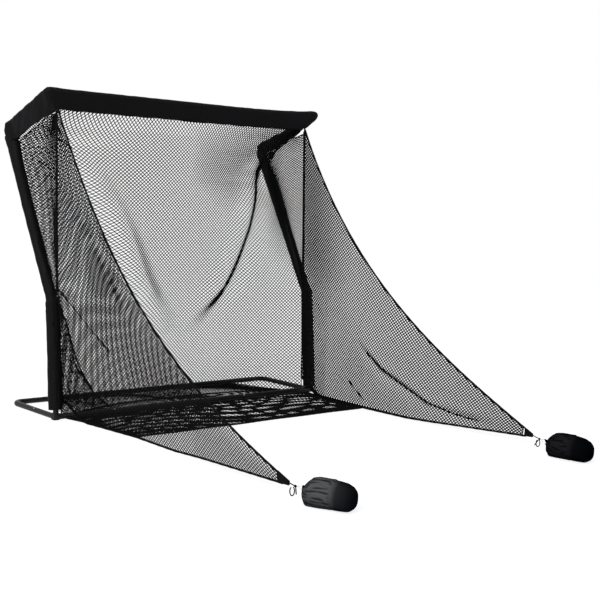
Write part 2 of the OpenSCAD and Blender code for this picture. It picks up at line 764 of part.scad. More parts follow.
module sandbag(s) {
    color(s < 0 ? [0.28, 0.28, 0.29] : [0.1, 0.11, 0.12])
        at_bag(s)
            difference() {
                bag_form(0);
                bag_form(3);
            }
}
module sand_fill(s) {
    fill_z = bag_h * 0.66;
    color("tan")
        at_bag(s)
            intersection() {
                bag_form(3.4);
                translate([-bag_w, -bag_l * 1.1, 0]) cube([bag_w * 2, bag_l * 1.2, fill_z]);
            }
}
module bag_cord(s) {
    color([0.08, 0.08, 0.09])
        rope(s < 0 ? left_cord_route : right_cord_route, cord_r);
}

module placed() {
    translate([0, shift_y, 0]) children();
}

placed() sided(-1) foot_block();  // foot_block_left
placed() sided(1) foot_block();  // foot_block_right
placed() front_bar_left();
placed() front_bar_middle();
placed() front_bar_right();
placed() sided(-1) side_rail();  // side_rail_left
placed() sided(1) side_rail();  // side_rail_right
placed() sided(-1) rear_corner();  // rear_corner_left
placed() sided(1) rear_corner();  // rear_corner_right
placed() rear_bar();
placed() sided(-1) lower_upright();  // lower_upright_left
placed() sided(1) lower_upright();  // lower_upright_right
placed() sided(-1) upper_upright();  // upper_upright_left
placed() sided(1) upper_upright();  // upper_upright_right
placed() sided(-1) arm();  // arm_left
placed() sided(1) arm();  // arm_right
placed() crossbar_left();
placed() crossbar_right();
placed() button(front_buttons[0]);  // button_front_left
placed() button(front_buttons[1]);  // button_front_right
placed() sided(-1) button(right_buttons[0]);  // button_side_left
placed() sided(1) button(right_buttons[0]);  // button_side_right
placed() sided(-1) button(right_buttons[1]);  // button_rear_left
placed() sided(1) button(right_buttons[1]);  // button_rear_right
placed() sided(-1) button(right_buttons[2]);  // button_upright_left
placed() sided(1) button(right_buttons[2]);  // button_upright_right
placed() sided(-1) button(right_buttons[3]);  // button_arm_left
placed() sided(1) button(right_buttons[3]);  // button_arm_right
placed() sided(-1) button(right_buttons[4]);  // button_corner_left
placed() sided(1) button(right_buttons[4]);  // button_corner_right
placed() button(crossbar_button);  // button_crossbar
placed() snap_springs();
placed() foam_padding();
placed() crossbar_sleeve();
placed() sided(-1) arm_sleeve();  // arm_sleeve_left
placed() sided(1) arm_sleeve();  // arm_sleeve_right
placed() sided(-1) upper_sleeve();  // upper_sleeve_left
placed() sided(1) upper_sleeve();  // upper_sleeve_right
placed() sided(-1) lower_sleeve();  // lower_sleeve_left
placed() sided(1) lower_sleeve();  // lower_sleeve_right
placed() main_net();
placed() floor_net();
placed() apron_net();
placed() apron_hem();
placed() sided(-1) side_net();  // side_net_left
placed() sided(1) side_net();  // side_net_right
placed() sided(-1) barrier_net();  // barrier_net_left
placed() sided(1) barrier_net();  // barrier_net_right
placed() sided(-1) edge_rope();  // edge_rope_left
placed() sided(1) edge_rope();  // edge_rope_right
placed() sided(-1) barrier_rope();  // barrier_rope_left
placed() sided(1) barrier_rope();  // barrier_rope_right
placed() foot_bungees();
placed() bag_cord(-1);  // bag_cord_left
placed() bag_cord(1);  // bag_cord_right
placed() sandbag(-1);  // sandbag_left
placed() sandbag(1);  // sandbag_right
placed() sand_fill(-1);  // sand_fill_left
placed() sand_fill(1);  // sand_fill_right
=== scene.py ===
# %% [markdown]
# # A golf chipping net
#
# The object is a free-standing practice net: a leaning tube frame in padded cloth sleeves, a large main
# net, two triangular side barriers that run forward to sandbags, and netting on the floor. This lesson
# adds what is soft: twine, cloth, ropes, cords and bags.

# %% Start
import math
import bpy
import numpy as np
from mathutils import Matrix, Vector


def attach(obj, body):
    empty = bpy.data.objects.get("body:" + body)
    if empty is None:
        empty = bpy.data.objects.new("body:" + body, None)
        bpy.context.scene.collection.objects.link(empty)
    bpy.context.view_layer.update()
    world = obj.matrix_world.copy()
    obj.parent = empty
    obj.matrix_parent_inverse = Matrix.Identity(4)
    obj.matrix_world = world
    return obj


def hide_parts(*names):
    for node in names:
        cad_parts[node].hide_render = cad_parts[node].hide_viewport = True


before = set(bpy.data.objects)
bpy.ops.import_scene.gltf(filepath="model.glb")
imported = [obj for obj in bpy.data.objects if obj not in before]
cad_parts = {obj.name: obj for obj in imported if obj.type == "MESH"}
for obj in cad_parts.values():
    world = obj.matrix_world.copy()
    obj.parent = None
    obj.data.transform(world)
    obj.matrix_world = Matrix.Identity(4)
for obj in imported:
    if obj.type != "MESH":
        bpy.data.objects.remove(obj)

scene = bpy.context.scene
scene.view_settings.view_transform = "Standard"
for starter in ("Cube", "Light", "Camera"):
    if starter in bpy.data.objects:
        bpy.data.objects.remove(bpy.data.objects[starter])
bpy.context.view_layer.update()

# %% [markdown]
# The camera stands to the left in front of the net, at about head height, and looks across it. A
# long lens keeps the uprights nearly parallel. Yaw, pitch and roll are turned into three axes, which is
# easier to check than Euler angles.

# %% Camera
FORWARD = 1.013456          # the feet stand this far behind the origin
CAMERA_AT = (-5.2832, -6.8805 + FORWARD, 1.6740)
CAMERA_YAW, CAMERA_PITCH, CAMERA_ROLL = math.radians(-42.5847), math.radians(5.5448), math.radians(2.8724)
CAMERA_LENS = 69.203


def add_camera():
    ca, sa = math.cos(CAMERA_YAW), math.sin(CAMERA_YAW)
    ce, se = math.cos(CAMERA_PITCH), math.sin(CAMERA_PITCH)
    back = Vector((sa * ce, -ca * ce, se))
    right = Vector((ca, sa, 0))
    up = back.cross(right)
    cr, sr = math.cos(CAMERA_ROLL), math.sin(CAMERA_ROLL)
    right, up = right * cr + up * sr, up * cr - right * sr
    data = bpy.data.cameras.new("camera")
    data.lens = CAMERA_LENS
    data.sensor_width = 36
    data.clip_end = 200
    camera = bpy.data.objects.new("camera", data)
    scene.collection.objects.link(camera)
    turn = Matrix((right, up, back)).transposed().to_4x4()
    camera.matrix_world = Matrix.Translation(CAMERA_AT) @ turn
    scene.camera = camera
    return camera


camera = add_camera()
print("camera at", tuple(round(v, 3) for v in camera.location))

# %% [markdown]
# Small hand tools that every later cell uses: one drops the selection, one hands back the object that an
# operator has just made, one applies a modifier, and one moves all points of a mesh at once with numpy.

# %% Hand tools
SIDES = ((-1, "left"), (1, "right"))


def deselect():
    bpy.ops.object.select_all(action="DESELECT")


def made(name):
    piece = bpy.context.object
    piece.name = name
    piece.data.name = name
    return piece


def pick(piece):
    deselect()
    piece.select_set(True)
    bpy.context.view_layer.objects.active = piece
    return piece


def join(pieces):
    """Joins all the pieces into the first."""
    deselect()
    for piece in pieces:
        piece.select_set(True)
    bpy.context.view_layer.objects.active = pieces[0]
    bpy.ops.object.join()
    return pieces[0]


def apply_modifier(piece, kind, **values):
    pick(piece)
    modifier = piece.modifiers.new(kind.lower(), kind)
    for key, value in values.items():
        setattr(modifier, key, value)
    bpy.ops.object.modifier_apply(modifier=modifier.name)
    return piece


def points_of(piece):
    flat = np.empty(len(piece.data.vertices) * 3)
    piece.data.vertices.foreach_get("co", flat)
    return flat.reshape(-1, 3)


def move_points(piece, places):
    piece.data.vertices.foreach_set("co", np.ascontiguousarray(places, dtype=float).ravel())
    piece.data.update()


def edit_op(piece, operator, **values):
    pick(piece)
    bpy.ops.object.mode_set(mode="EDIT")
    bpy.ops.mesh.select_all(action="SELECT")
    operator(**values)
    bpy.ops.object.mode_set(mode="OBJECT")


def smooth(piece, degrees=None):
    pick(piece)
    if degrees is None:
        bpy.ops.object.shade_smooth()
    else:
        bpy.ops.object.shade_smooth_by_angle(angle=math.radians(degrees))
    return piece


def put_material(piece, material):
    piece.data.materials.clear()
    piece.data.materials.append(material)


def line(x, table):
    """Straight-line steps through (x, value) pairs."""
    xs, values = zip(*table)
    return np.interp(x, xs, values)


def unit(v):
    v = np.asarray(v, float)
    return v / np.linalg.norm(v, axis=-1, keepdims=True)


# %% [markdown]
# Materials: most finishes here are dark, so what tells them apart is roughness and fine relief. Two shader
# node groups are shared: one gives a woven relief, the other gives a slow patchy variation, for dust and
# fading. They put out only values, and each material keeps its own Principled shader.

# %% Shared shader groups


def new_group(name, inputs, outputs):
    group = bpy.data.node_groups.new(name, "ShaderNodeTree")
    for label, kind, value in inputs:
        socket = group.interface.new_socket(label, in_out="INPUT", socket_type=kind)
        if value is not None:
            socket.default_value = value
    for label, kind in outputs:
        group.interface.new_socket(label, in_out="OUTPUT", socket_type=kind)
    return group, group.nodes.new("NodeGroupInput"), group.nodes.new("NodeGroupOutput")


def node(tree, kind, **values):
    made_node = tree.nodes.new(kind)
    for key, value in values.items():
        if key in made_node.inputs:
            made_node.inputs[key].default_value = value
        else:
            setattr(made_node, key, value)
    return made_node


def weave_group():
    group, start, end = new_group(
        "woven threads",
        [("Vector", "NodeSocketVector", None), ("Threads", "NodeSocketFloat", 900.0)],
        [("Height", "NodeSocketFloat")],
    )
    link = group.links.new
    sums = []
    for axis in ("X", "Y", "Z"):
        wave = node(group, "ShaderNodeTexWave", wave_type="BANDS", bands_direction=axis,
                    Distortion=0.6, Detail=1.0)
        link(start.outputs["Vector"], wave.inputs["Vector"])
        link(start.outputs["Threads"], wave.inputs["Scale"])
        sums.append(wave.outputs["Fac"])
    first = node(group, "ShaderNodeMath", operation="MAXIMUM")
    link(sums[0], first.inputs[0])
    link(sums[1], first.inputs[1])
    second = node(group, "ShaderNodeMath", operation="MULTIPLY")
    link(first.outputs[0], second.inputs[0])
    link(sums[2], second.inputs[1])
    link(second.outputs[0], end.inputs["Height"])
    return group


def patch_group():
    group, start, end = new_group(
        "slow patches",
        [("Vector", "NodeSocketVector", None), ("Scale", "NodeSocketFloat", 3.0)],
        [("Mask", "NodeSocketFloat")],
    )
    link = group.links.new
    noise = node(group, "ShaderNodeTexNoise", Detail=4.0, Roughness=0.6)
    link(start.outputs["Vector"], noise.inputs["Vector"])
    link(start.outputs["Scale"], noise.inputs["Scale"])
    ramp = node(group, "ShaderNodeMapRange", **{"From Min": 0.35, "From Max": 0.7})
    link(noise.outputs["Fac"], ramp.inputs["Value"])
    link(ramp.outputs["Result"], end.inputs["Mask"])
    return group


WEAVE = weave_group()
PATCHES = patch_group()
print("groups:", WEAVE.name, "and", PATCHES.name)


# %% [markdown]
# One recipe makes all the finishes: a dark and a lighter colour mixed by the slow patches, a roughness that
# the patches shift, and a relief from threads or fine noise. Cloth also takes a little sheen, paint a coat.

# %% Finishes


def finish(name, dark, light, rough, threads=0.0, relief=0.0, patch=3.0, grain=0.0, grain_scale=300.0,
           sheen=0.0, coat=0.0, metallic=0.0, specular=0.5):
    material = bpy.data.materials.new(name)
    material.use_nodes = True
    tree = material.node_tree
    link = tree.links.new
    shader = tree.nodes["Principled BSDF"]
    for label, value in (("Sheen Weight", sheen), ("Sheen Roughness", 0.4), ("Coat Weight", coat),
                         ("Coat Roughness", 0.25), ("Metallic", metallic), ("Specular IOR Level", specular)):
        shader.inputs[label].default_value = value
    place = node(tree, "ShaderNodeTexCoord")
    patches = node(tree, "ShaderNodeGroup", node_tree=PATCHES, Scale=patch)
    link(place.outputs["Object"], patches.inputs["Vector"])
    mix = node(tree, "ShaderNodeMix", data_type="RGBA", A=(*dark, 1), B=(*light, 1))
    link(patches.outputs["Mask"], mix.inputs["Factor"])
    link(mix.outputs["Result"], shader.inputs["Base Color"])
    shift = node(tree, "ShaderNodeMapRange", **{"To Min": rough[0], "To Max": rough[1]})
    link(patches.outputs["Mask"], shift.inputs["Value"])
    link(shift.outputs["Result"], shader.inputs["Roughness"])
    last = None
    if threads:
        weave = node(tree, "ShaderNodeGroup", node_tree=WEAVE, Threads=threads)
        link(place.outputs["Object"], weave.inputs["Vector"])
        bump = node(tree, "ShaderNodeBump", Strength=0.6, Distance=relief)
        link(weave.outputs["Height"], bump.inputs["Height"])
        last = bump
    if grain:
        noise = node(tree, "ShaderNodeTexNoise", Detail=3.0, Scale=grain_scale)
        link(place.outputs["Object"], noise.inputs["Vector"])
        bump = node(tree, "ShaderNodeBump", Strength=0.5, Distance=grain)
        link(noise.outputs["Fac"], bump.inputs["Height"])
        if last:
            link(last.outputs["Normal"], bump.inputs["Normal"])
        last = bump
    if last:
        link(last.outputs["Normal"], shader.inputs["Normal"])
    return material


twine_black = finish("black twine", (0.0010, 0.0010, 0.0014), (0.0030, 0.0030, 0.0038), (0.6, 0.8),
                     threads=260.0, relief=0.0004, patch=5.0, specular=0.08)
sleeve_black = finish("black sleeve cloth", (0.0010, 0.0010, 0.0014), (0.0030, 0.0030, 0.0036), (0.55, 0.75),
                      threads=330.0, relief=0.0003, patch=4.0, grain=0.0012, grain_scale=45.0,
                      specular=0.12)
rope_black = finish("black edge binding", (0.0010, 0.0010, 0.0013), (0.0025, 0.0025, 0.0030), (0.6, 0.8),
                    threads=200.0, relief=0.0006, patch=9.0, specular=0.08)
bag_black = finish("black bag cloth", (0.005, 0.0055, 0.006), (0.01, 0.011, 0.012), (0.5, 0.66),
                   threads=380.0, relief=0.0003, patch=14.0, grain=0.001, grain_scale=70.0, sheen=0.03,
                   specular=0.25)
string_grey = finish("grey drawstring", (0.4, 0.41, 0.42), (0.55, 0.56, 0.57), (0.6, 0.75),
                     threads=500.0, relief=0.0003, patch=40.0)
elastic_grey = finish("grey elastic", (0.34, 0.36, 0.4), (0.5, 0.52, 0.55), (0.5, 0.7),
                      threads=420.0, relief=0.0003, patch=30.0)
paint_black = finish("black tube paint", (0.003, 0.003, 0.0035), (0.007, 0.007, 0.008), (0.3, 0.45),
                     grain=0.0002, grain_scale=600.0, coat=0.1, specular=0.3)
plastic_black = finish("moulded black plastic", (0.004, 0.004, 0.005), (0.009, 0.009, 0.01), (0.42, 0.6),
                       grain=0.0004, grain_scale=420.0, specular=0.3)
button_grey = finish("pale button", (0.55, 0.56, 0.57), (0.7, 0.71, 0.72), (0.3, 0.4), grain=0.0001)
spring_grey = finish("spring steel", (0.45, 0.45, 0.46), (0.6, 0.6, 0.6), (0.25, 0.35), grain=0.0001,
                     metallic=1.0)
foam_grey = finish("grey foam", (0.08, 0.08, 0.085), (0.12, 0.12, 0.125), (0.8, 0.95), grain=0.001)
sand_tan = finish("sand", (0.35, 0.26, 0.16), (0.5, 0.4, 0.26), (0.85, 1.0), grain=0.002, grain_scale=900.0)

NODE_FINISHES = [
    ("foot_block", plastic_black), ("button", button_grey), ("snap_springs", spring_grey),
    ("foam_padding", foam_grey), ("sand_fill", sand_tan), ("foot_bungees", elastic_grey),
    ("sandbag", bag_black), ("bag_cord", rope_black), ("edge_rope", rope_black), ("barrier_rope", rope_black),
    ("apron_hem", rope_black), ("sleeve", sleeve_black), ("_net", twine_black),
]


def dress_nodes():
    for name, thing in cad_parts.items():
        chosen = paint_black
        for part, material in NODE_FINISHES:
            if part in name:
                chosen = material
                break
        put_material(thing, chosen)


dress_nodes()
print("finishes:", len(bpy.data.materials), "for", len(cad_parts), "nodes")

# %% [markdown]
# A knotted net is rows of diamonds, not squares: each knot joins four bars. One way to get that pattern
# is a plain grid whose faces are poked, so that each square gets a middle point, and whose old inner
# edges are then dissolved. What stays is a diamond round every old edge. The flat pattern is then hung:
# each point is moved to its place on the cloth. Last, the Wireframe modifier turns every edge into a bar
# of twine, and a small eight-sided knot is copied onto every crossing.

# %% The net maker
TWINE = 0.0088
BARRIER_TWINE = {-1: 0.0076, 1: 0.0155}
SIDE_TWINE = {-1: 0.0088, 1: 0.0110}
APRON_TWINE = 0.0056
FLOOR_TWINE = 0.0032
KNOT_SHARE = 0.62
THIN_SHARE = 0.3


def diamond_grid(name, cols, rows):
    deselect()
    bpy.ops.mesh.primitive_grid_add(x_subdivisions=cols, y_subdivisions=rows, size=1)
    piece = made(name)
    bpy.ops.object.mode_set(mode="EDIT")
    bpy.ops.mesh.select_all(action="SELECT")
    bpy.ops.mesh.poke()
    bpy.ops.mesh.select_mode(type="EDGE")
    bpy.ops.mesh.select_all(action="DESELECT")
    bpy.ops.object.mode_set(mode="OBJECT")
    flat = points_of(piece)
    ends = np.empty(len(piece.data.edges) * 2, dtype=np.int64)
    piece.data.edges.foreach_get("vertices", ends)
    a, b = flat[ends[0::2]], flat[ends[1::2]]
    step = np.abs(a - b)
    straight = (step[:, 0] < 1e-5) | (step[:, 1] < 1e-5)
    middle = np.abs((a + b) / 2)
    inner = straight & (middle[:, 0] < 0.4999) & (middle[:, 1] < 0.4999)
    piece.data.edges.foreach_set("select", inner)
    bpy.ops.object.mode_set(mode="EDIT")
    bpy.ops.mesh.dissolve_edges(use_verts=False)
    bpy.ops.object.mode_set(mode="OBJECT")
    return piece


def cut_faces(piece, unwanted):
    """Deletes the faces whose number is set in unwanted."""
    pick(piece)
    bpy.ops.object.mode_set(mode="EDIT")
    bpy.ops.mesh.select_mode(type="FACE")
    bpy.ops.mesh.select_all(action="DESELECT")
    bpy.ops.object.mode_set(mode="OBJECT")
    piece.data.polygons.foreach_set("select", unwanted)
    bpy.ops.object.mode_set(mode="EDIT")
    bpy.ops.mesh.delete(type="FACE")
    bpy.ops.mesh.select_mode(type="VERT")
    bpy.ops.object.mode_set(mode="OBJECT")


def corner_table(piece):
    count = len(piece.data.polygons)
    corners = np.empty(len(piece.data.loops), dtype=np.int64)
    piece.data.loops.foreach_get("vertex_index", corners)
    starts = np.empty(count, dtype=np.int64)
    totals = np.empty(count, dtype=np.int64)
    piece.data.polygons.foreach_get("loop_start", starts)
    piece.data.polygons.foreach_get("loop_total", totals)
    return corners, starts, totals


def knot_shape():
    deselect()
    bpy.ops.mesh.primitive_uv_sphere_add(segments=4, ring_count=2, radius=1)
    knot = made("one knot")
    points = points_of(knot)
    faces = [tuple(face.vertices) for face in knot.data.polygons]
    bpy.data.objects.remove(knot)
    return points, faces


def add_knots(piece, places, sizes):
    points, faces = knot_shape()
    count = len(points)
    allpoints = (places[:, None, :] + points[None, :, :] * sizes[:, None, None]).reshape(-1, 3)
    allfaces = [tuple(i * count + k for k in face) for i in range(len(places)) for face in faces]
    mesh = bpy.data.meshes.new(piece.name + " knots")
    mesh.from_pydata(allpoints.tolist(), [], allfaces)
    knots = bpy.data.objects.new(mesh.name, mesh)
    scene.collection.objects.link(knots)
    join([piece, knots])


def net(name, cols, rows, place, twine=TWINE, open_sides="", knots=True, thin=None):
    """place turns arrays u, v (0 to 1) into points, and may give a mask of points past the cloth's edge.

    thin gives each point's share of the full twine, for a part that is pulled taut."""
    piece = diamond_grid(name, cols, rows)
    flat = points_of(piece)
    u, v = flat[:, 0] + 0.5, flat[:, 1] + 0.5
    hung = place(u, v)
    past = None
    if isinstance(hung, tuple):
        hung, past = hung
    corners, starts, totals = corner_table(piece)
    unwanted = np.zeros(len(starts), dtype=bool)
    if past is not None:
        unwanted |= np.logical_and.reduceat(past[corners], starts)
    triangle = totals == 3
    for side, test in (("left", u < 1e-4), ("right", u > 0.9999), ("low", v < 1e-4), ("high", v > 0.9999)):
        if side in open_sides:
            on_side = np.add.reduceat(test[corners].astype(int), starts) >= 2
            unwanted |= triangle & on_side
    move_points(piece, hung)
    if thin:
        group = piece.vertex_groups.new(name="twine")
        for i, weight in enumerate(thin(u, v)):
            group.add([i], float(weight), "REPLACE")
    if unwanted.any():
        cut_faces(piece, unwanted)
    crossings = points_of(piece).copy()
    weights = np.array([v.groups[0].weight if v.groups else 1.0 for v in piece.data.vertices])
    apply_modifier(piece, "WIREFRAME", thickness=twine, use_replace=True, use_boundary=True,
                   use_even_offset=False, vertex_group="twine" if thin else "",
                   thickness_vertex_group=THIN_SHARE)
    if knots:
        add_knots(piece, crossings, twine * KNOT_SHARE * (THIN_SHARE + (1 - THIN_SHARE) * weights))
    put_material(piece, twine_black)
    print(name, len(crossings), "crossings,", len(piece.data.polygons), "faces")
    return piece


# %% [markdown]
# The frame's corner points, the same as the solid model's. Everything soft is hung from these.

# %% Corner points
SIDE = 1.192
FLARE = 0.046
TOP_Y, TOP_Z = 0.143, 2.246
BEND_Y, BEND_Z = 0.786, 2.006
ELBOW_Y, ELBOW_Z = 0.092, 0.824
SKIRT = 0.144
SLEEVE = 0.052
ARM_SKIRT = 0.112
MAIN_TOP = TOP_Z - SKIRT + SLEEVE / 2 - 0.003


def seat(x, y, z):
    """Arrays to points, moved back to where the feet stand."""
    x, y, z = np.broadcast_arrays(x, y, z)
    return np.stack([x, y + FORWARD, z], axis=-1).astype(float)


def waves(a, b, seed, count=5, low=2.0, high=9.0):
    """A gentle uneven ripple over two coordinates, between about -1 and 1."""
    rng = np.random.default_rng(seed)
    total = np.zeros(np.broadcast(a, b).shape)
    for _ in range(count):
        fa, fb = rng.uniform(low, high, 2) * rng.choice([-1, 1], 2)
        total += np.sin(fa * a + fb * b + rng.uniform(0, 6.28)) / count ** 0.5
    return total


# %% [markdown]
# The main net hangs from the crossbar. The leaning frames hold its sides back, so a long soft fold runs
# down from each rear bend, and its foot runs forward along the ground. It is the largest piece of twine,
# so it is made as three strips that meet at rows of knots.

# %% Main net
HALF_WIDTHS = ((0, SIDE - 0.062), (ELBOW_Z, SIDE - 0.054), (BEND_Z - 0.112, SIDE - 0.052),
               (MAIN_TOP, SIDE - 0.022))
EDGE_LINE = ((0, 0.026), (ELBOW_Z, ELBOW_Y), (1.80, 0.575), (1.90, 0.555), (2.04, 0.46), (MAIN_TOP, 0.33))
FOLD_LINE = ((0, 0.2), (0.6, 0.22), (0.682, 0.27), (0.745, 0.33), (0.808, 0.385), (0.89, 0.44),
             (0.983, 0.492), (1.1, 0.55), (1.235, 0.615), (1.439, 0.72), (1.739, 0.895), (1.95, 1.06))
FOLD_REACH, FOLD_DEPTH = 0.095, 0.068
LEFT_EDGE = ((0, 0.026), (ELBOW_Z, ELBOW_Y), (BEND_Z - 0.112, BEND_Y - 0.052), (MAIN_TOP, TOP_Y))
SWEEP_POWER = ((0, 2.6), (1.3, 2.6), (1.7, 1.25), (MAIN_TOP, 1.2))
FOOT_Y = 0.3
FLOOR_SHARE = 0.13


def middle_y(z):
    return TOP_Y + (FOOT_Y - TOP_Y) * np.clip(1 - z / MAIN_TOP, 0, 1) ** 1.2


def fold(x, z):
    """How far the long fold stands back and forward. It fades towards its ends and the net's edge."""
    g = (np.abs(x) - line(z, FOLD_LINE)) / FOLD_REACH
    edge = line(z, HALF_WIDTHS) - np.abs(x)
    fade = np.clip((z - 0.5) / 0.35, 0, 1) ** 1.5 * np.clip((1.95 - z) / 0.3, 0, 1)
    fade = fade * np.clip(edge / 0.12, 0, 1)
    return FOLD_DEPTH * fade * g * np.exp((1 - g * g) / 2)


def hung_y(x, z):
    power = np.where(x > 0, line(z, SWEEP_POWER), 2.6)
    share = (np.abs(x) / line(z, HALF_WIDTHS)) ** power
    edge = np.where(x > 0, line(z, EDGE_LINE), line(z, LEFT_EDGE))
    return middle_y(z) + (edge - middle_y(z)) * share + fold(x, z)


def main_net_place(start, end):
    """A strip of the net, from start to end in half widths, counted from the middle."""
    def place(u, v):
        across = start + (end - start) * u
        down = 1 - v
        hang = np.clip(down / (1 - FLOOR_SHARE), 0, 1)
        run = np.clip((down - 1 + FLOOR_SHARE) / FLOOR_SHARE, 0, 1)
        z = MAIN_TOP * (1 - hang) + 0.007 * hang
        x = across * line(z, HALF_WIDTHS)
        y = hung_y(x, z)
        y += 0.006 * waves(x, z, 3) * np.sin(np.pi * hang) * (1 - np.abs(across)) ** 0.3
        foot = y * (1 - run) + 0.026 * run
        creases = 0.4 + 0.6 * np.abs(waves(x, x * 0, 8, low=1.5, high=5))
        z = z + run * 0.002 + 0.028 * np.sin(np.pi * run) * creases
        z = z + 0.024 * np.clip(1 - hang * 20, 0, 1)
        return seat(x, np.where(run > 0, foot, y), z)
    return place


def foot_is_thin(u, v):
    return np.clip((v - FLOOR_SHARE + 0.01) / 0.015, 0, 1)


MAIN_GRID = 26, 92
main_strips = [
    net("main_net_left", *MAIN_GRID, main_net_place(-1, -1 / 3), open_sides=("right",), thin=foot_is_thin),
    net("main_net_middle", *MAIN_GRID, main_net_place(-1 / 3, 1 / 3), open_sides=("left", "right"),
        thin=foot_is_thin),
    net("main_net_right", *MAIN_GRID, main_net_place(1 / 3, 1), open_sides=("left",), thin=foot_is_thin),
]

# %% [markdown]
# Each side frame is closed by a net that is stretched between the front edge rope, the underside of the
# arm's sleeve and the leaning upright. It was cut narrow, so its diamonds are pulled wide and flat, and
# they read as wavy level lines.

# %% Side nets
LEAN = unit([0, BEND_Y - ELBOW_Y, BEND_Z - ELBOW_Z])
ARM = unit([FLARE, TOP_Y - BEND_Y, TOP_Z - BEND_Z])
UNDER = -unit(np.cross(ARM, [1, 0, 0]))
ROPE_TOP_Z = MAIN_TOP - 0.016
ROPE_BOTTOM_Z = ELBOW_Z + 0.034
ROPE_TOP_Y, ROPE_BOTTOM_Y = TOP_Y - 0.035, ELBOW_Y - 0.046
ROPE_TOP_X = {-1: 1.190, 1: 1.092}
ROPE_BOTTOM_X = {-1: 1.184, 1: 1.104}
UPPER_R = 0.040
SIDE_NET_WIDTH, SIDE_NET_HOLLOW = 0.72, 0.03


def rope_point(side, z):
    t = (z - ROPE_BOTTOM_Z) / (ROPE_TOP_Z - ROPE_BOTTOM_Z)
    x = ROPE_BOTTOM_X[side] + (ROPE_TOP_X[side] - ROPE_BOTTOM_X[side]) * t
    y = ROPE_BOTTOM_Y + (ROPE_TOP_Y - ROPE_BOTTOM_Y) * t
    return x, y


def lean_y(z):
    """The front face of the leaning upright's sleeve."""
    return ELBOW_Y + (z - ELBOW_Z) * LEAN[1] / LEAN[2] - (UPPER_R - 0.006) / LEAN[2]


def arm_y(z):
    """The bottom edge of the arm's skirt."""
    drop = 0.5 * (ARM_SKIRT - SLEEVE / 2)
    y0, z0 = BEND_Y + UNDER[1] * drop, BEND_Z + UNDER[2] * drop
    return y0 + (z - z0) * ARM[1] / ARM[2]


def side_net_place(side):
    def place(u, v):
        z = ROPE_BOTTOM_Z + 0.004 + (ROPE_TOP_Z - ROPE_BOTTOM_Z) * v
        x0, y0 = rope_point(side, z)
        back = np.minimum(lean_y(z), arm_y(z))
        y = y0 + u * SIDE_NET_WIDTH
        past = y > back
        y = np.minimum(y, back)
        share = (y - y0) / np.maximum(back - y0, 0.01)
        x = x0 + (SIDE - 0.004 - x0) * share
        belly = np.sin(np.pi * share)
        x = x - SIDE_NET_HOLLOW * belly * (1 + 0.25 * waves(y, z, 12))
        z = z + 0.009 * waves(y, z, 20 + side, low=3, high=13) * belly - 0.02 * belly
        return seat(side * x, y, z), past
    return place


side_nets = {}
for side, word in SIDES:
    side_nets[side] = net("side_net_piece_" + word, 19, 62, side_net_place(side), twine=SIDE_TWINE[side])

# %% [markdown]
# A side barrier is one triangle of net from the front edge of the side frame to a tip at the sandbag. The
# diamonds keep their size along the barrier and close up a little towards the tip. Points that fall past
# the cut edge are moved onto it, and faces that lie wholly past it are deleted.

# %% Side barriers
REACH = 2.315
TIP_X = {-1: 1.132, 1: 1.160}
TIP_Y = {-1: -REACH - 0.030, 1: -REACH + 0.040}
TIP_Z = 0.084
BARRIER_TOP_Y, BARRIER_TOP_Z = TOP_Y - 0.048, TOP_Z - 0.096
BACK_X = {-1: SIDE + 0.006, 1: SIDE - 0.107}
GROUND_X = {
    -1: ((TIP_Y[-1], TIP_X[-1]), (-1.43, SIDE - 0.130), (-0.75, SIDE - 0.150), (-0.3, SIDE - 0.11),
         (0.04, SIDE - 0.062)),
    1: ((TIP_Y[1], TIP_X[1]), (-1.43, SIDE - 0.114), (-0.75, SIDE - 0.124), (-0.3, SIDE - 0.11),
        (0.04, SIDE - 0.062)),
}


def reach_share(side, y):
    return (y - TIP_Y[side]) / (BARRIER_TOP_Y - TIP_Y[side])


TOP_PROFILE = {-1: (0.45, 0.40), 1: (0.57, 0.37)}
TOP_POWER = {-1: 2, 1: 8}


def barrier_top(side, y):
    b = np.clip(reach_share(side, y), 0, 1.02)
    x = TIP_X[side] + (BACK_X[side] - TIP_X[side]) * b
    linear, cubic = TOP_PROFILE[side]
    rise = linear * b + cubic * b ** 3 + (1 - linear - cubic) * b ** TOP_POWER[side]
    return x, TIP_Z + (BARRIER_TOP_Z - TIP_Z) * rise


def barrier_ground(side, y):
    z = line(y, ((TIP_Y[side], TIP_Z - 0.016), (-1.58, 0.034), (-1.2, 0.014), (-0.25, 0.014), (-0.19, 0.022),
                 (-0.13, 0.050), (-0.08, 0.088), (-0.04, 0.118), (0.04, 0.124)))
    return line(y, GROUND_X[side]), z


def back_edge(z):
    return line(z, ((0, 0.028), (ROPE_BOTTOM_Z, 0.034), (ROPE_TOP_Z, ROPE_TOP_Y - 0.007), (2.3, ROPE_TOP_Y)))


BELLY = {-1: 0.012, 1: 0.030}
BELLY_WAVE = 0.007
CLOSING = {-1: 0.2, 1: 0.7}


def barrier_x(side, y, z, t):
    """How far out the cloth is, at a share t of its height there."""
    top_x, _ = barrier_top(side, y)
    low_x, _ = barrier_ground(side, y)
    belly = np.sin(np.pi * t) * np.sin(np.pi * np.clip(reach_share(side, y), 0, 1) ** 1.2)
    x = low_x + (top_x - low_x) * np.sin(np.pi * t / 2)
    x = x - BELLY[side] * belly + BELLY_WAVE * belly * waves(y, z, 30 + side, low=1.5, high=5)
    close = np.clip((y - back_edge(z) + CLOSING[side] + 0.02) / CLOSING[side], 0, 1) ** 1.4
    close = close * np.clip((z - ROPE_BOTTOM_Z + 0.1) / 0.2, 0, 1)
    return x + (rope_point(side, z)[0] - x) * close


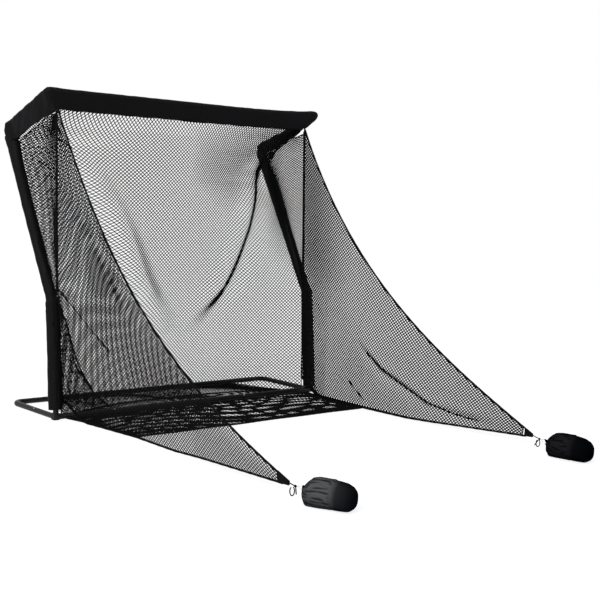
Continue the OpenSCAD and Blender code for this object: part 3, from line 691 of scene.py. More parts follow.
def barrier_place(side, ridges=()):
    length = 0.12 - TIP_Y[side]

    def place(u, v):
        y = TIP_Y[side] + 0.075 + (length - 0.075) * u
        _, top_z = barrier_top(side, y)
        _, low_z = barrier_ground(side, y)
        base_z = line(y, ((TIP_Y[side], TIP_Z - 0.016), (-1.58, 0.034), (-1.2, 0.014), (0.04, 0.014)))
        height = np.maximum(top_z - 0.006 - base_z, 0.004)
        t = v * (BARRIER_TOP_Z / height) ** 0.9
        past = t > 1
        t = np.minimum(t, 1)
        z = base_z + height * t
        past = past | (z < low_z)
        z = np.maximum(z, low_z)
        edge = back_edge(z)
        past = past | (y > edge)
        y = np.minimum(y, edge)
        x = barrier_x(side, y, z, t)
        for size, width, path in ridges:
            ys, zs = zip(*path)
            crest = np.interp(y, ys, zs)
            fade = np.clip((y - ys[0]) / 0.3, 0, 1) * np.clip((ys[-1] - y) / 0.25, 0, 1)
            g = (z - crest) / width
            x = x - size * fade * g * np.exp((1 - g * g) / 2)
        return seat(side * x, y, z), past
    return place


def slack_by_rope(u, v):
    """Thicker twine towards the rope, which stands for the net gathered along it."""
    return 0.66 + 0.34 * np.clip((u - 0.72) / 0.2, 0, 1) * np.clip((v - 0.25) / 0.3, 0, 1)


RIGHT_RIDGES = (
    (0.010, 0.030, ((-2.1, 0.10), (-1.39, 0.147), (-1.246, 0.217), (-1.079, 0.281), (-0.93, 0.334),
                    (-0.65, 0.52))),
)
BARRIER_GRID = 82, 76
barriers = {
    -1: net("barrier_net_piece_left", *BARRIER_GRID, barrier_place(-1), twine=BARRIER_TWINE[-1]),
    1: net("barrier_net_piece_right", *BARRIER_GRID, barrier_place(1, RIGHT_RIDGES), twine=BARRIER_TWINE[1],
           thin=slack_by_rope),
}

# %% [markdown]
# Two nets lie on the ground: the apron in front of the feet, with a corded hem, and the floor net between
# the main net's foot and the rear bar. Loose netting never lies flat, so long low folds lift them a
# little.

# %% Floor nets
APRON, FLOOR_END = 0.745, 0.570


def apron_place(u, v):
    y = -0.026 - (APRON - 0.03) * (1 - v)
    left = line(y, ((-APRON, SIDE - 0.150), (-0.3, SIDE - 0.130), (-0.026, SIDE - 0.070)))
    right = line(y, ((-APRON, SIDE - 0.126), (-0.3, SIDE - 0.115), (-0.026, SIDE - 0.045)))
    x = -left * (1 - u) + right * u
    fade = np.sin(np.pi * np.clip(v, 0, 1)) ** 0.6 * np.clip((1 - np.abs(2 * u - 1)) * 6, 0, 1)
    folds = np.sin(9 * x + 62 * y + 6 * waves(x, 1.5 * y, 41, low=1, high=4))
    folds = folds * (0.68 + 0.32 * np.sin(34 * x + 19 * y + 4 * waves(y, x, 47)))
    z = 0.006 + fade * (0.006 + 0.012 * np.maximum(folds, 0) ** 1.5 + 0.003 * np.abs(waves(x, y, 42)))
    return seat(x, y, z)


def floor_place(u, v):
    y = 0.03 + (FLOOR_END - 0.03) * v
    x = (2 * u - 1) * (SIDE - 0.085 - 0.27 * v ** 0.8)
    fade = np.sin(np.pi * v) ** 0.5
    z = 0.004 + fade * 0.008 * (1 + waves(x, y, 44))
    return seat(x, y, np.maximum(z, 0.003))


apron = net("apron_net_piece", 70, 26, apron_place, twine=APRON_TWINE)
floor_cloth = net("floor_net_piece", 60, 16, floor_place, twine=FLOOR_TWINE)

# %% [markdown]
# The sleeves are one long cloth cover over foam, sewn from lengths: the crossbar's with a hanging skirt,
# the arms', the leaning uprights' and the lower uprights'. A path runs along the tubes with a round turn
# at each corner. A closed outline travels along it: a drop shape where there is a skirt, a circle on the
# uprights. A grid primitive gives the faces, numpy moves its points, and the long seam is closed by
# merging doubles.

# %% Sleeve path and outline


def path_with_turns(corners, radii, step=0.02):
    """Points along straight runs with a round arc of the given radius at each inner corner."""
    corners = [np.asarray(c, float) for c in corners]
    places = [corners[0]]
    for i in range(1, len(corners) - 1):
        a, b, c = corners[i - 1:i + 2]
        ua, uc = unit(a - b), unit(c - b)
        half = math.acos(np.clip(ua @ uc, -1, 1)) / 2
        cut = radii[i - 1] / math.tan(half)
        middle = b + unit(ua + uc) * radii[i - 1] / math.sin(half)
        first, second = b + ua * cut, b + uc * cut
        turn = math.pi - 2 * half
        count = max(6, int(turn * radii[i - 1] / step) + 1)
        e1 = unit(first - middle)
        e2 = unit((second - middle) - e1 * ((second - middle) @ e1))
        for k in range(count + 1):
            angle = turn * k / count
            places.append(middle + radii[i - 1] * (e1 * math.cos(angle) + e2 * math.sin(angle)))
    places.append(corners[-1])
    dense = [places[0]]
    for p, q in zip(places, places[1:]):
        length = np.linalg.norm(q - p)
        pieces = max(1, int(round(length / step)))
        dense += [p + (q - p) * k / pieces for k in range(1, pieces + 1)]
    return np.array(dense)


def drop_outline(turn, top_r, hem_r, depth):
    """Sideways and downward offsets of a drop shape; turn runs once round, from the hem up and back."""
    t = turn % 1.0
    side = np.where(t < 0.5, 1, -1)
    q = np.where(t < 0.5, t, 1 - t) * 2
    low_centre = depth - hem_r
    hem = np.clip(q / 0.12, 0, 1)
    flank = np.clip((q - 0.12) / 0.38, 0, 1)
    top = np.clip((q - 0.5) / 0.5, 0, 1)
    lean = np.arcsin(np.clip((top_r - hem_r) / np.maximum(low_centre, top_r - hem_r + 1e-4), -1, 1))
    hem_angle = hem * (np.pi / 2 - lean)
    hem_x, hem_d = hem_r * np.sin(hem_angle), low_centre + hem_r * np.cos(hem_angle)
    end_angle = np.pi / 2 - lean
    ax, ad = hem_r * np.sin(end_angle), low_centre + hem_r * np.cos(end_angle)
    bx, bd = top_r * np.sin(end_angle), top_r * np.cos(end_angle)
    top_angle = end_angle + top * (np.pi - end_angle)
    tx, td = top_r * np.sin(top_angle), top_r * np.cos(top_angle)
    x = np.where(q < 0.12, hem_x, np.where(q < 0.5, ax + (bx - ax) * flank, tx))
    d = np.where(q < 0.12, hem_d, np.where(q < 0.5, ad + (bd - ad) * flank, td))
    return side * x, d


# %% [markdown]
# The rings of the right side, one after another: along the crossbar, round its corner, down the arm,
# round the rear bend and down the upright. At the rear bend the cloth doesn't follow the tube: the
# skirt's hem stays at one inner point and the outside goes round it like a fan, which gives the pointed
# corner that sewn cloth has.

# %% Sleeve rings
CORNER = np.array([SIDE + FLARE, TOP_Y, TOP_Z])
BEND = np.array([SIDE, BEND_Y, BEND_Z])
ELBOW = np.array([SIDE, ELBOW_Y, ELBOW_Z])
FOOT = np.array([SIDE, 0.008, 0.070])
FOOT_DROP = {-1: 0.0, 1: 0.024}
FRONT = np.array([0, -LEAN[2], LEAN[1]])
INWARD = np.array([-1.0, 0, 0])
ARM_DEPTH = {-1: 0.134, 1: 0.074}
TOP_DEPTH = SKIRT - SLEEVE / 2
CORNER_DROP = {-1: -0.004, 1: 0.010}
CROSSBAR_SAG = {-1: 0.004, 1: -0.028}
SAG_POWER = {-1: 1.0, 1: 3.0}
TUCK = {-1: 0.012, 1: 0.004}
WEB = {-1: 0.024, 1: 0.0}
CORNER_SHARPNESS = {-1: 13, 1: 14}
HEM_PULL = {-1: 0.045, 1: 0.090}
TOP_R, HEM_R = 0.026, 0.005
FACE_DEPTH = 0.040
CLOTH_THICKNESS = 0.0016
BEND_SWELL = 0.002


def inner_corner(side):
    """Where the hem of the arm's skirt meets the front face of the leaning upright."""
    matrix = np.array([[ARM[1], LEAN[1]], [ARM[2], LEAN[2]]])
    gap = (FRONT * (FACE_DEPTH + TUCK[side] + WEB[side]) - UNDER * ARM_DEPTH[side])[1:]
    along_arm, along_lean = np.linalg.solve(matrix, gap)
    return BEND + UNDER * ARM_DEPTH[side] + ARM * along_arm, along_arm, along_lean


def soft_min(a, b, sharpness):
    return -np.log(np.exp(-sharpness * a) + np.exp(-sharpness * b)) / sharpness


def ring(hem, down, across, radii, depth, stretch=1.0):
    return dict(hem=hem, down=down, across=across, top_r=radii[0], hem_r=radii[1], depth=depth,
                stretch=stretch)


def way_at(path, i):
    return unit(path[min(i + 1, len(path) - 1)] - path[max(i - 1, 0)])


def top_rings(side, arm_cut):
    """Along the crossbar from its middle, round the corner and down the arm."""
    path = path_with_turns([(0, TOP_Y, TOP_Z), CORNER, BEND + ARM * arm_cut], [0.020])
    turn_at = np.linalg.norm(path - CORNER, axis=1).argmin()
    rings = []
    for i, place in enumerate(path):
        way = way_at(path, i)
        share = np.clip((i - turn_at + 6) / 12, 0, 1)
        down = np.array([0, 0, -1.0]) * (1 - share) + UNDER * share
        down = unit(down - way * (down @ way))
        near = math.exp(-((i - turn_at) / 7) ** 2)
        depth = TOP_DEPTH + (ARM_DEPTH[side] - TOP_DEPTH) * share + CORNER_DROP[side] * near
        past_corner = np.linalg.norm(place - path[turn_at]) if i > turn_at else 0.0
        sag = CROSSBAR_SAG[side] * np.clip(place[0] / SIDE, 0, 1) ** SAG_POWER[side]
        place = place - np.array([0, 0, sag * max(0.0, 1 - past_corner / 0.35)])
        rings.append(ring(place + down * depth, down, np.cross(way, down), (TOP_R + 0.005 * near, HEM_R),
                          depth))
    return rings, turn_at


def fan_rings(side, pivot):
    """Round the rear bend, with the hem held at the inner corner."""
    depth = ARM_DEPTH[side]
    wide, lean_wide = depth + TOP_R, FACE_DEPTH * 2 + BEND_SWELL + WEB[side]
    start, end = -UNDER, -FRONT
    total = math.acos(np.clip(start @ end, -1, 1))
    rings = []
    for k in range(1, 12):
        mix = k / 12
        angle = total * mix
        out = (start * math.sin(total - angle) + end * math.sin(angle)) / math.sin(total)
        reach = soft_min(wide / max(math.cos(angle), 0.05), lean_wide / max(math.cos(total - angle), 0.05),
                         CORNER_SHARPNESS[side])
        radii = (TOP_R + 0.012 * mix, HEM_R + 0.033 * mix)
        level = depth + (FACE_DEPTH + WEB[side] - depth) * mix
        rings.append(ring(pivot.copy(), -out, INWARD, radii, level, reach / (level + radii[0])))
    return rings


def upright_rings(side, lean_cut):
    """Down the leaning upright, through the elbow to the foot block."""
    path = path_with_turns([BEND - LEAN * lean_cut, ELBOW, FOOT - (0, 0, FOOT_DROP[side])], [0.09])
    elbow_at = np.linalg.norm(path - ELBOW, axis=1).argmin()
    rings = []
    for i, place in enumerate(path):
        down = unit(np.cross(way_at(path, i), [1.0, 0, 0]))
        down = down if down[1] < 0 else -down
        low_swell = (0.0065 * np.clip((i - elbow_at + 3) / 6, 0, 1)
                     + 0.003 * np.clip((i - elbow_at - 8) / 22, 0, 1))
        swell = BEND_SWELL * math.exp(-(np.linalg.norm(place - path[0]) / 0.35) ** 2)
        round_r = FACE_DEPTH + low_swell + swell
        run = np.linalg.norm(place - path[0])
        web = WEB[side] * math.exp(-(run / 0.11) ** 2)
        tuck = TUCK[side] * math.exp(-(run / 0.4) ** 2) + web + 0.006 * np.clip((i - elbow_at) / 20, 0, 1)
        hem = place + down * (round_r - swell + tuck)
        rings.append(ring(hem, down, INWARD, (round_r, round_r - 0.001), round_r + web))
    return rings, elbow_at


def ring_list(side):
    pivot, arm_cut, lean_cut = inner_corner(side)
    first, corner_at = top_rings(side, arm_cut)
    fan = fan_rings(side, pivot)
    last, elbow_at = upright_rings(side, lean_cut)
    rings = first + fan + last
    middles = np.array([r["hem"] - r["down"] * r["depth"] * r["stretch"] for r in rings])
    run = np.concatenate([[0], np.cumsum(np.linalg.norm(np.diff(middles, axis=0), axis=1))])
    for r, distance in zip(rings, run):
        r["run"] = float(distance)
    stops = {"corner": corner_at, "bend": len(first) + 6, "elbow": len(first) + len(fan) + elbow_at,
             "end": len(rings) - 1}
    return rings, stops


RINGS, STOPS = {}, {}
for side in (-1, 1):
    RINGS[side], STOPS[side] = ring_list(side)
print("sleeve rings", STOPS)


def ring_points(number, turn, ruffle, side):
    r = RINGS[side][number]
    sideways, below = drop_outline(turn, r["top_r"], r["hem_r"], r["depth"])
    rise = (r["depth"] - below) * r["stretch"]
    low = np.clip(below / r["depth"], 0, 1)
    spot = r["hem"] - r["down"] * rise[:, None] + r["across"] * sideways[:, None]
    core = np.clip(below, 0, max(r["depth"] - r["hem_r"], 0))
    outward = unit(r["across"] * sideways[:, None] + r["down"] * (below - core)[:, None] + 1e-9)
    spot = spot + outward * ruffle(turn, r["run"], low, side)[:, None]
    near = math.exp(-((r["run"] - run_of(side, "corner")) / 0.16) ** 2)
    spot[:, 0] -= HEM_PULL[side] * low ** 1.6 * near
    spot[:, 0] *= side
    spot[:, 1] += FORWARD
    return spot


def run_of(side, stop):
    return RINGS[side][STOPS[side][stop]]["run"]


def sleeve(name, rings, cols, ruffle):
    """rings is a list of (ring number, side); a grid primitive is laid over them and its long seam closed."""
    deselect()
    bpy.ops.mesh.primitive_grid_add(x_subdivisions=cols, y_subdivisions=len(rings) - 1, size=1)
    piece = made(name)
    flat = points_of(piece)
    turn = flat[:, 0] + 0.5
    number = np.rint((flat[:, 1] + 0.5) * (len(rings) - 1)).astype(int)
    spots = np.empty_like(flat)
    for k, (i, side) in enumerate(rings):
        here = number == k
        spots[here] = ring_points(i, turn[here], ruffle, side)
    move_points(piece, spots)
    edit_op(piece, bpy.ops.mesh.remove_doubles, threshold=0.0003)
    edit_op(piece, bpy.ops.mesh.normals_make_consistent, inside=False)
    apply_modifier(piece, "SOLIDIFY", thickness=CLOTH_THICKNESS, offset=-1.0)
    smooth(piece, 60)
    put_material(piece, sleeve_black)
    return piece


# %% [markdown]
# Cloth over foam is never even. The crossbar's skirt hangs in slow shallow waves, the arms' is pulled into
# slanting creases by the corners, and the uprights' sleeves have short crosswise wrinkles where they bend.

# %% Sleeves
def skirt_ruffle(turn, run, low, side):
    face = np.where(turn % 1 < 0.5, 1, -1)
    sway = 0.003 * low * math.sin(9 * run + 1.3) + 0.002 * low * math.sin(23 * run + 0.4)
    return face * sway + 0.0007 * waves(run * 8 + 0 * turn, turn * 6, 51)


def arm_ruffle(turn, run, low, side):
    slant = run - low * 0.10
    crease = np.sin(88 * slant + 2.2 * math.sin(17 * run)) * 0.0018 + np.sin(37 * slant + 1.0) * 0.0026
    near = math.exp(-((run - run_of(side, "bend")) / 0.2) ** 2)
    near += 0.6 * math.exp(-((run - run_of(side, "corner")) / 0.12) ** 2)
    return crease * (0.45 + near) + 0.0008 * waves(run * 9 + 0 * turn, turn * 7, 52)


def upright_ruffle(turn, run, low, side):
    near = math.exp(-((run - run_of(side, "bend")) / 0.12) ** 2)
    near += math.exp(-((run - run_of(side, "elbow")) / 0.1) ** 2)
    creases = np.sin(120 * run + 3 * np.sin(2 * np.pi * turn)) * 0.0016 * near
    return creases + 0.0012 * waves(run * 5 + 0 * turn, np.sin(2 * np.pi * turn) * 1.5, 53)


def side_rings(first, last, side):
    stops = {"middle": 0, **STOPS[side]}
    return [(i, side) for i in range(stops[first], stops[last] + 1)]


left_half = side_rings("middle", "corner", -1)[1:]
crossbar_cover = sleeve("crossbar_cover", left_half[::-1] + side_rings("middle", "corner", 1), 56,
                        skirt_ruffle)
covers = {"arm": {}, "upper": {}, "lower": {}}
for side, word in SIDES:
    covers["arm"][side] = sleeve("arm_cover_" + word, side_rings("corner", "bend", side), 64, arm_ruffle)
    covers["upper"][side] = sleeve("upper_cover_" + word, side_rings("bend", "elbow", side), 44,
                                   upright_ruffle)
    covers["lower"][side] = sleeve("lower_cover_" + word, side_rings("elbow", "end", side), 44,
                                   upright_ruffle)
print("covers", 1 + sum(len(c) for c in covers.values()))

# %% [markdown]
# The edges of the nets are bound with rope: a thick one down each side frame, one along the top and the
# foot of each barrier, and the apron's hem. Each is a curve with a round bevel, turned into a mesh, with
# a little unevenness along it from the stitches.

# %% Edge ropes


def tube_along(name, route, radius, taper=None):
    curve = bpy.data.curves.new(name, "CURVE")
    curve.dimensions = "3D"
    spline = curve.splines.new("POLY")
    spline.points.add(len(route) - 1)
    for i, place in enumerate(route):
        spline.points[i].co = (*[float(c) for c in place], 1)
        if taper is not None:
            spline.points[i].radius = float(taper[i])
    curve.bevel_depth = radius
    curve.bevel_resolution = 2
    curve.use_fill_caps = True
    piece = bpy.data.objects.new(name, curve)
    scene.collection.objects.link(piece)
    pick(piece)
    bpy.ops.object.convert(target="MESH")
    piece = bpy.context.object
    smooth(piece)
    return piece


def barrier_rope_route(side, low):
    y = np.linspace(TIP_Y[side] + 0.05, BARRIER_TOP_Y if not low else 0.016, 90)
    x, z = (barrier_ground if low else barrier_top)(side, y)
    if low:
        z = z - 0.004
    return seat(side * x, y, z)


def uneven(count, size, pace):
    """Factors round one that make a rope's radius a little uneven along its length."""
    return 1 + size * np.sin(np.arange(count) * pace)


EDGE_RADIUS, TOP_RADIUS, FOOT_RADIUS = 0.0068, 0.0062, 0.0065
HEM_SWELL = {-1: 0.5, 1: 1.6}
ropes = []
for side, word in SIDES:
    zs = np.linspace(ROPE_TOP_Z + 0.02, ROPE_BOTTOM_Z, 60)
    xs, ys = rope_point(side, zs)
    edge = tube_along("edge_binding_" + word, seat(side * xs, ys, zs), EDGE_RADIUS,
                      taper=uneven(60, 0.07, 2.3))
    top = tube_along("barrier_top_binding_" + word, barrier_rope_route(side, False), TOP_RADIUS,
                     taper=uneven(90, 0.08, 2.1))
    thick = HEM_SWELL[side] * np.linspace(0, 1, 90) ** 2.5 + uneven(90, 0.1, 1.7)
    low = tube_along("barrier_foot_binding_" + word, barrier_rope_route(side, True), FOOT_RADIUS,
                     taper=thick)
    ropes += [(edge, "edge_rope_" + word), (top, "barrier_rope_" + word), (low, "barrier_rope_" + word)]
hem_x = np.linspace(-(SIDE - 0.154), SIDE - 0.130, 120)
hem_route = seat(hem_x, -APRON + 0.003 * np.sin(5 * hem_x), 0.0075 + 0.001 * np.sin(11 * hem_x))
hem = tube_along("apron_hem_binding", hem_route, EDGE_RADIUS, taper=uneven(120, 0.08, 1.9))
for piece in [r[0] for r in ropes] + [hem]:
    put_material(piece, rope_black)
print("ropes", len(ropes) + 1)

# %% [markdown]
# Extra netting fills some corners of the side frames. Behind the crossbar's corners a narrow gusset closes
# the gap under the arm, with a stitched line along its edge. At the left foot the spare width of the net
# is gathered against the upright, so one more rippled layer lies over the others there.

# %% Gussets and gathered net
GUSSET_EDGE = ((0.150, 2.224), (0.446, 2.039), (0.598, 1.953), (0.641, 1.905))


def gusset_place(side):
    ys, zs = zip(*GUSSET_EDGE)

    def place(u, v):
        y = ys[0] + (ys[-1] - ys[0]) * u
        low = np.interp(y, ys, zs)
        high = BEND_Z + (y - BEND_Y) * ARM[2] / ARM[1] - 0.008
        z = low + (high - low) * v
        x = SIDE - 0.002 + 0.006 * waves(y, z, 61)
        return seat(side * x, y, z)
    return place


gussets = [net("gusset_net_" + word, 22, 8, gusset_place(side), twine=0.0036, knots=False)
           for side, word in SIDES]
GATHER_CURVE = ((0.83, -1.138, 0.12), (0.645, -1.052, 0.12), (0.53, -1.011, 0.12), (0.386, -0.984, 0.12),
                (0.206, -0.882, 0.11), (0.135, -0.821, 0.10), (0.06, -0.745, 0.07), (0.02, -0.69, 0.05))


def gather_edge(z):
    zs, xs, ys = zip(*GATHER_CURVE[::-1])
    return np.interp(z, zs, xs), np.interp(z, zs, ys)


def gather_place(u, v):
    z = 0.012 + 0.80 * v
    edge_x, edge_y = gather_edge(z)
    start_x, start_y = -SIDE + 0.030, 0.036 + 0.05 * v
    u = u ** 0.9
    x = start_x + (edge_x - start_x) * u
    y = start_y + (edge_y - start_y) * u + 0.012 * np.sin(46 * u + 3 * v) * np.sin(np.pi * u)
    return seat(x, y, z + 0.004 * np.sin(30 * u))


gather = net("gathered_net_left", 15, 36, gather_place, twine=0.0052, knots=False)

# %% [markdown]
# Stitched lines show where the cloth is doubled: along the gussets, along the gathered edge, and as darts
# in the barriers. A dart is a fold sewn down, so it is drawn as a thin dark cord lying in the net.

# %% Stitched lines and darts


def spread(points, count):
    """Evenly spaced points along a polyline, smoothed a little."""
    points = np.array(points, float)
    for _ in range(2):
        middle = (points[:-1] + points[1:]) / 2
        points = np.vstack([points[:1], middle, points[-1:]])
    run = np.concatenate([[0], np.cumsum(np.linalg.norm(np.diff(points, axis=0), axis=1))])
    at = np.linspace(0, run[-1], count)
    return np.stack([np.interp(at, run, points[:, k]) for k in range(3)], axis=1)


def shift(points):
    return np.asarray(points, float) + (0, FORWARD, 0)


# Darts stand this far to the left of the net, so that its twine doesn't swallow them.
CAMERA_SIDE = -0.010


def barrier_spot(side, y, z):
    """A point of the barrier's surface, by its height and how far forward it is."""
    y, z = np.asarray(y, float), np.asarray(z, float)
    _, top_z = barrier_top(side, y)
    _, low_z = barrier_ground(side, y)
    t = np.clip((z - low_z) / np.maximum(top_z - low_z, 0.01), 0, 1)
    return np.stack([side * barrier_x(side, y, z, t) + CAMERA_SIDE, y, z], axis=-1)


seams = []
for side, word in SIDES:
    route = [(side * SIDE, y, z) for y, z in GUSSET_EDGE]
    seams.append(tube_along("gusset_seam_" + word, shift(spread(route, 40)), 0.0048))
corner = ((-1.198, 0.291, 2.016), (-1.197, 0.09, 1.938), (-1.194, -0.107, 1.861))
seams.append(tube_along("corner_line_left", shift(spread(corner, 12)), 0.0046))
gathered = [(x, y, z) for z, x, y in GATHER_CURVE]
seams.append(tube_along("gathered_edge_left", shift(spread(gathered, 60)), 0.0062))
DARTS = (
    ("dart_right_long", 1, 0.0052, ((-0.773, 0.443), (-0.93, 0.334), (-1.079, 0.281), (-1.246, 0.217),
                                    (-1.39, 0.147), (-1.6, 0.112), (-1.85, 0.10))),
    ("dart_right_short", 1, 0.0045, ((-0.596, 0.191), (-0.666, 0.133), (-0.77, 0.07))),
    ("dart_left_high", -1, 0.0052, ((0.02, 0.904), (-0.188, 0.761), (-0.444, 0.611), (-0.551, 0.549))),
)
for name, side, radius, route in DARTS:
    ys, zs = np.array(route).T
    seams.append(tube_along(name, shift(spread(barrier_spot(side, ys, zs), 50)), radius))
for piece in seams:
    put_material(piece, rope_black)
print("stitched lines", len(seams))

# %% [markdown]
# A doubled cloth patch covers the tip of each barrier, where the cord is tied on. It is a small triangle
# laid over the net, thick enough to stand on both sides of it.

# %% Tip patches
PATCH_THICKNESS = 0.013


def tip_patch(side, word, length):
    deselect()
    bpy.ops.mesh.primitive_grid_add(x_subdivisions=16, y_subdivisions=8, size=1)
    piece = made("tip_patch_" + word)
    flat = points_of(piece)
    u, v = flat[:, 0] + 0.5, flat[:, 1] + 0.5
    y = TIP_Y[side] - 0.006 + (length + 0.006) * u
    top_x, top_z = barrier_top(side, np.maximum(y, TIP_Y[side]))
    low_x, low_z = barrier_ground(side, np.maximum(y, TIP_Y[side]))
    half = (top_z - low_z) / 2 + 0.006
    z = (top_z + low_z) / 2 + half * (2 * v - 1)
    x = low_x + (top_x - low_x) * v
    move_points(piece, seat(side * x, y, z))
    apply_modifier(piece, "SOLIDIFY", thickness=PATCH_THICKNESS, offset=0.0)
    apply_modifier(piece, "BEVEL", width=0.004, segments=2, limit_method="ANGLE")
    smooth(piece, 50)
    put_material(piece, rope_black)
    return piece


patches = [tip_patch(-1, "left", length=0.095), tip_patch(1, "right", length=0.06)]

# %% [markdown]
# A sandbag is a drawstring pouch that lies on its side. Its cloth is gathered at the mouth, so folds run
# from there over two thirds of its length, to a seam across it. The end behind the seam is smooth and
# full. The shell is one grid wrapped round the bag's length. Then it is remeshed and blown up a little as
# cloth under pressure, which rounds the folds as sand does, and no point may move further than a few
# millimetres.

# %% Sandbags
BAG_LENGTH = 0.330
SEAM_AT = 0.62
BAG_SIZE = {-1: 0.945, 1: 0.985}
MOUTH = {-1: (-SIDE + 0.026, -REACH - 0.173), 1: (SIDE - 0.158, -REACH - 0.165)}
BAG_TURN = {-1: math.radians(24), 1: math.radians(9)}
TOP_LINE = ((0, 0.088), (0.03, 0.100), (0.1, 0.124), (0.2, 0.150), (0.3, 0.157), (0.62, 0.157), (0.8, 0.150),
            (0.9, 0.136), (0.96, 0.118), (1, 0.092))
LOW_LINE = ((0, 0.062), (0.02, 0.040), (0.05, 0.018), (0.12, 0.006), (0.9, 0.003), (0.96, 0.012), (1, 0.040))
WIDE_LINE = ((0, 0.012), (0.03, 0.030), (0.08, 0.050), (0.2, 0.080), (0.4, 0.096), (0.62, 0.099),
             (0.8, 0.097), (0.9, 0.088), (0.96, 0.072), (1, 0.040))


def bag_local(side, sideways, along, z):
    """From the bag's own axes to the row's frame."""
    c, s = math.cos(BAG_TURN[side]) * BAG_SIZE[side], math.sin(BAG_TURN[side]) * BAG_SIZE[side]
    x = MOUTH[side][0] + sideways * c + along * s
    y = MOUTH[side][1] + sideways * s - along * c
    return seat(x, y, z * BAG_SIZE[side])


def bag_axes(side, points):
    """How far each point is from its bag's mouth, sideways and along the bag."""
    c, s = math.cos(BAG_TURN[side]), math.sin(BAG_TURN[side])
    dx, dy = points[:, 0] - MOUTH[side][0], points[:, 1] - FORWARD - MOUTH[side][1]
    return dx * c + dy * s, dx * s - dy * c


def bag_shares(side, points):
    """How far along its bag each point is, from 0 at the mouth to 1."""
    return bag_axes(side, points)[1] / BAG_LENGTH / BAG_SIZE[side]


def fold_depth(share, turn, seed):
    rng = np.random.default_rng(seed)
    total = 0 * share
    for count in (7, 11, 16, 23):
        phase, wander = rng.uniform(), rng.uniform(-1.2, 1.2)
        total = total + np.sin(2 * np.pi * (count * turn + phase) + wander * share) / 2
    near_mouth = np.clip((SEAM_AT - share) / SEAM_AT, 0, 1) ** 0.6 * np.clip(share / 0.04, 0, 1)
    at_seam = np.exp(-((share - SEAM_AT + 0.05) / 0.045) ** 2) * np.sin(2 * np.pi * 26 * turn)
    return 0.0060 * total * near_mouth + 0.0030 * at_seam


def bag_shell(side, word):
    deselect()
    bpy.ops.mesh.primitive_grid_add(x_subdivisions=150, y_subdivisions=90, size=1)
    piece = made("bag_cloth_" + word)
    flat = points_of(piece)
    turn, share = flat[:, 0] + 0.5, flat[:, 1] + 0.5
    top, low = line(share, TOP_LINE), line(share, LOW_LINE)
    wide, high = line(share, WIDE_LINE), (top - low) / 2
    closing = np.clip(share / 0.012, 0, 1) * np.clip((1 - share) / 0.012, 0, 1)
    c, s = np.cos(2 * np.pi * turn), np.sin(2 * np.pi * turn)
    power = 0.78
    side_c, side_s = np.sign(c) * np.abs(c) ** power, np.sign(s) * np.abs(s) ** power
    bump = fold_depth(share, turn, 70 + side) - 0.0035 * np.exp(-((share - SEAM_AT) / 0.012) ** 2)
    sideways = (wide + bump) * side_c * closing
    z = low + high + (high + bump) * side_s * closing
    along = share * BAG_LENGTH
    move_points(piece, bag_local(side, sideways, along, np.maximum(z, 0.0025)))
    edit_op(piece, bpy.ops.mesh.remove_doubles, threshold=0.0002)
    edit_op(piece, bpy.ops.mesh.normals_make_consistent, inside=False)
    return piece


def puff(piece, voxel, cap, pressure=4.0, frames=20):
    """Remeshes, blows up as cloth with the movement capped, and subdivides once."""
    apply_modifier(piece, "REMESH", mode="VOXEL", voxel_size=voxel)
    start = points_of(piece).copy()
    cloth = piece.modifiers.new("cloth", "CLOTH")
    cloth.settings.use_pressure = True
    cloth.settings.uniform_pressure_force = pressure
    cloth.settings.effector_weights.gravity = 0
    cloth.settings.quality = 4
    for frame_number in range(1, frames + 1):
        scene.frame_set(frame_number)
    graph = bpy.context.evaluated_depsgraph_get()
    solved = piece.evaluated_get(graph)
    moved = np.empty(len(solved.data.vertices) * 3)
    solved.data.vertices.foreach_get("co", moved)
    piece.modifiers.remove(cloth)
    scene.frame_set(1)
    step = moved.reshape(-1, 3) - start
    reach = np.linalg.norm(step, axis=1, keepdims=True)
    step = step * np.minimum(1, cap / np.maximum(reach, 1e-9))
    settled = start + step
    settled[:, 2] = np.maximum(settled[:, 2], 0.0015)
    move_points(piece, settled)
    print(piece.name, "moved up to", round(float(reach.max()) * 1000, 1), "mm before the cap")
    apply_modifier(piece, "SUBSURF", levels=1, render_levels=1)
    return smooth(piece)


bags = {}
for side, word in SIDES:
    bags[side] = puff(bag_shell(side, word), voxel=0.0045, cap=0.006)

# %% [markdown]
# The bags' cloth is lighter where it was gathered, in front of the seam, and darker behind the seam. Shade
# is painted on too: darker low down, as the top takes more light, and darker in the creases that run from
# the mouth. That is painted on the points as a grey value, which the material mixes with its own darkest
# colour. The material also paints shade where the surface turns away from the camera, by its facing.

# %% Bag cloth tone and painted shade


def crease(side, points, share):
    """Painted shade in the creases that run from the mouth, 0 outside them and 1 inside."""
    turn = np.arctan2(points[:, 2] - 0.075, bag_axes(side, points)[0])
    rng = np.random.default_rng(90 + side)
    total = 0 * share
    for count in (9, 14, 21, 30):
        wander = rng.uniform(1.5, 4.0) * np.sin(rng.uniform(4, 9) * share + rng.uniform(0, 6))
        total = total + np.sin(count * turn + wander + rng.uniform(0, 6.28))
    fade = np.clip((SEAM_AT + 0.02 - share) / 0.06, 0, 1)
    return np.clip(total / 1.7, 0, 1) * fade


def paint_tone_and_shade(piece, side):
    points = points_of(piece)
    share = bag_shares(side, points)
    low = np.clip(points[:, 2] / 0.15, 0, 1)
    tone = np.clip((SEAM_AT + 0.10 - share) / 0.12, 0, 1) * 0.75 + 0.25 * np.clip((1.02 - share) / 0.4, 0, 1)
    # Painted shade: darker low down, as the top of the bag takes more light.
    tone = tone * (0.5 + 0.5 * np.clip(low * 1.6, 0, 1))
    # Painted shade in the creases.
    tone = tone * (1 - 0.75 * crease(side, points, share))
    field = piece.data.attributes.new("tone", "FLOAT", "POINT")
    field.data.foreach_set("value", tone.astype(np.float32))


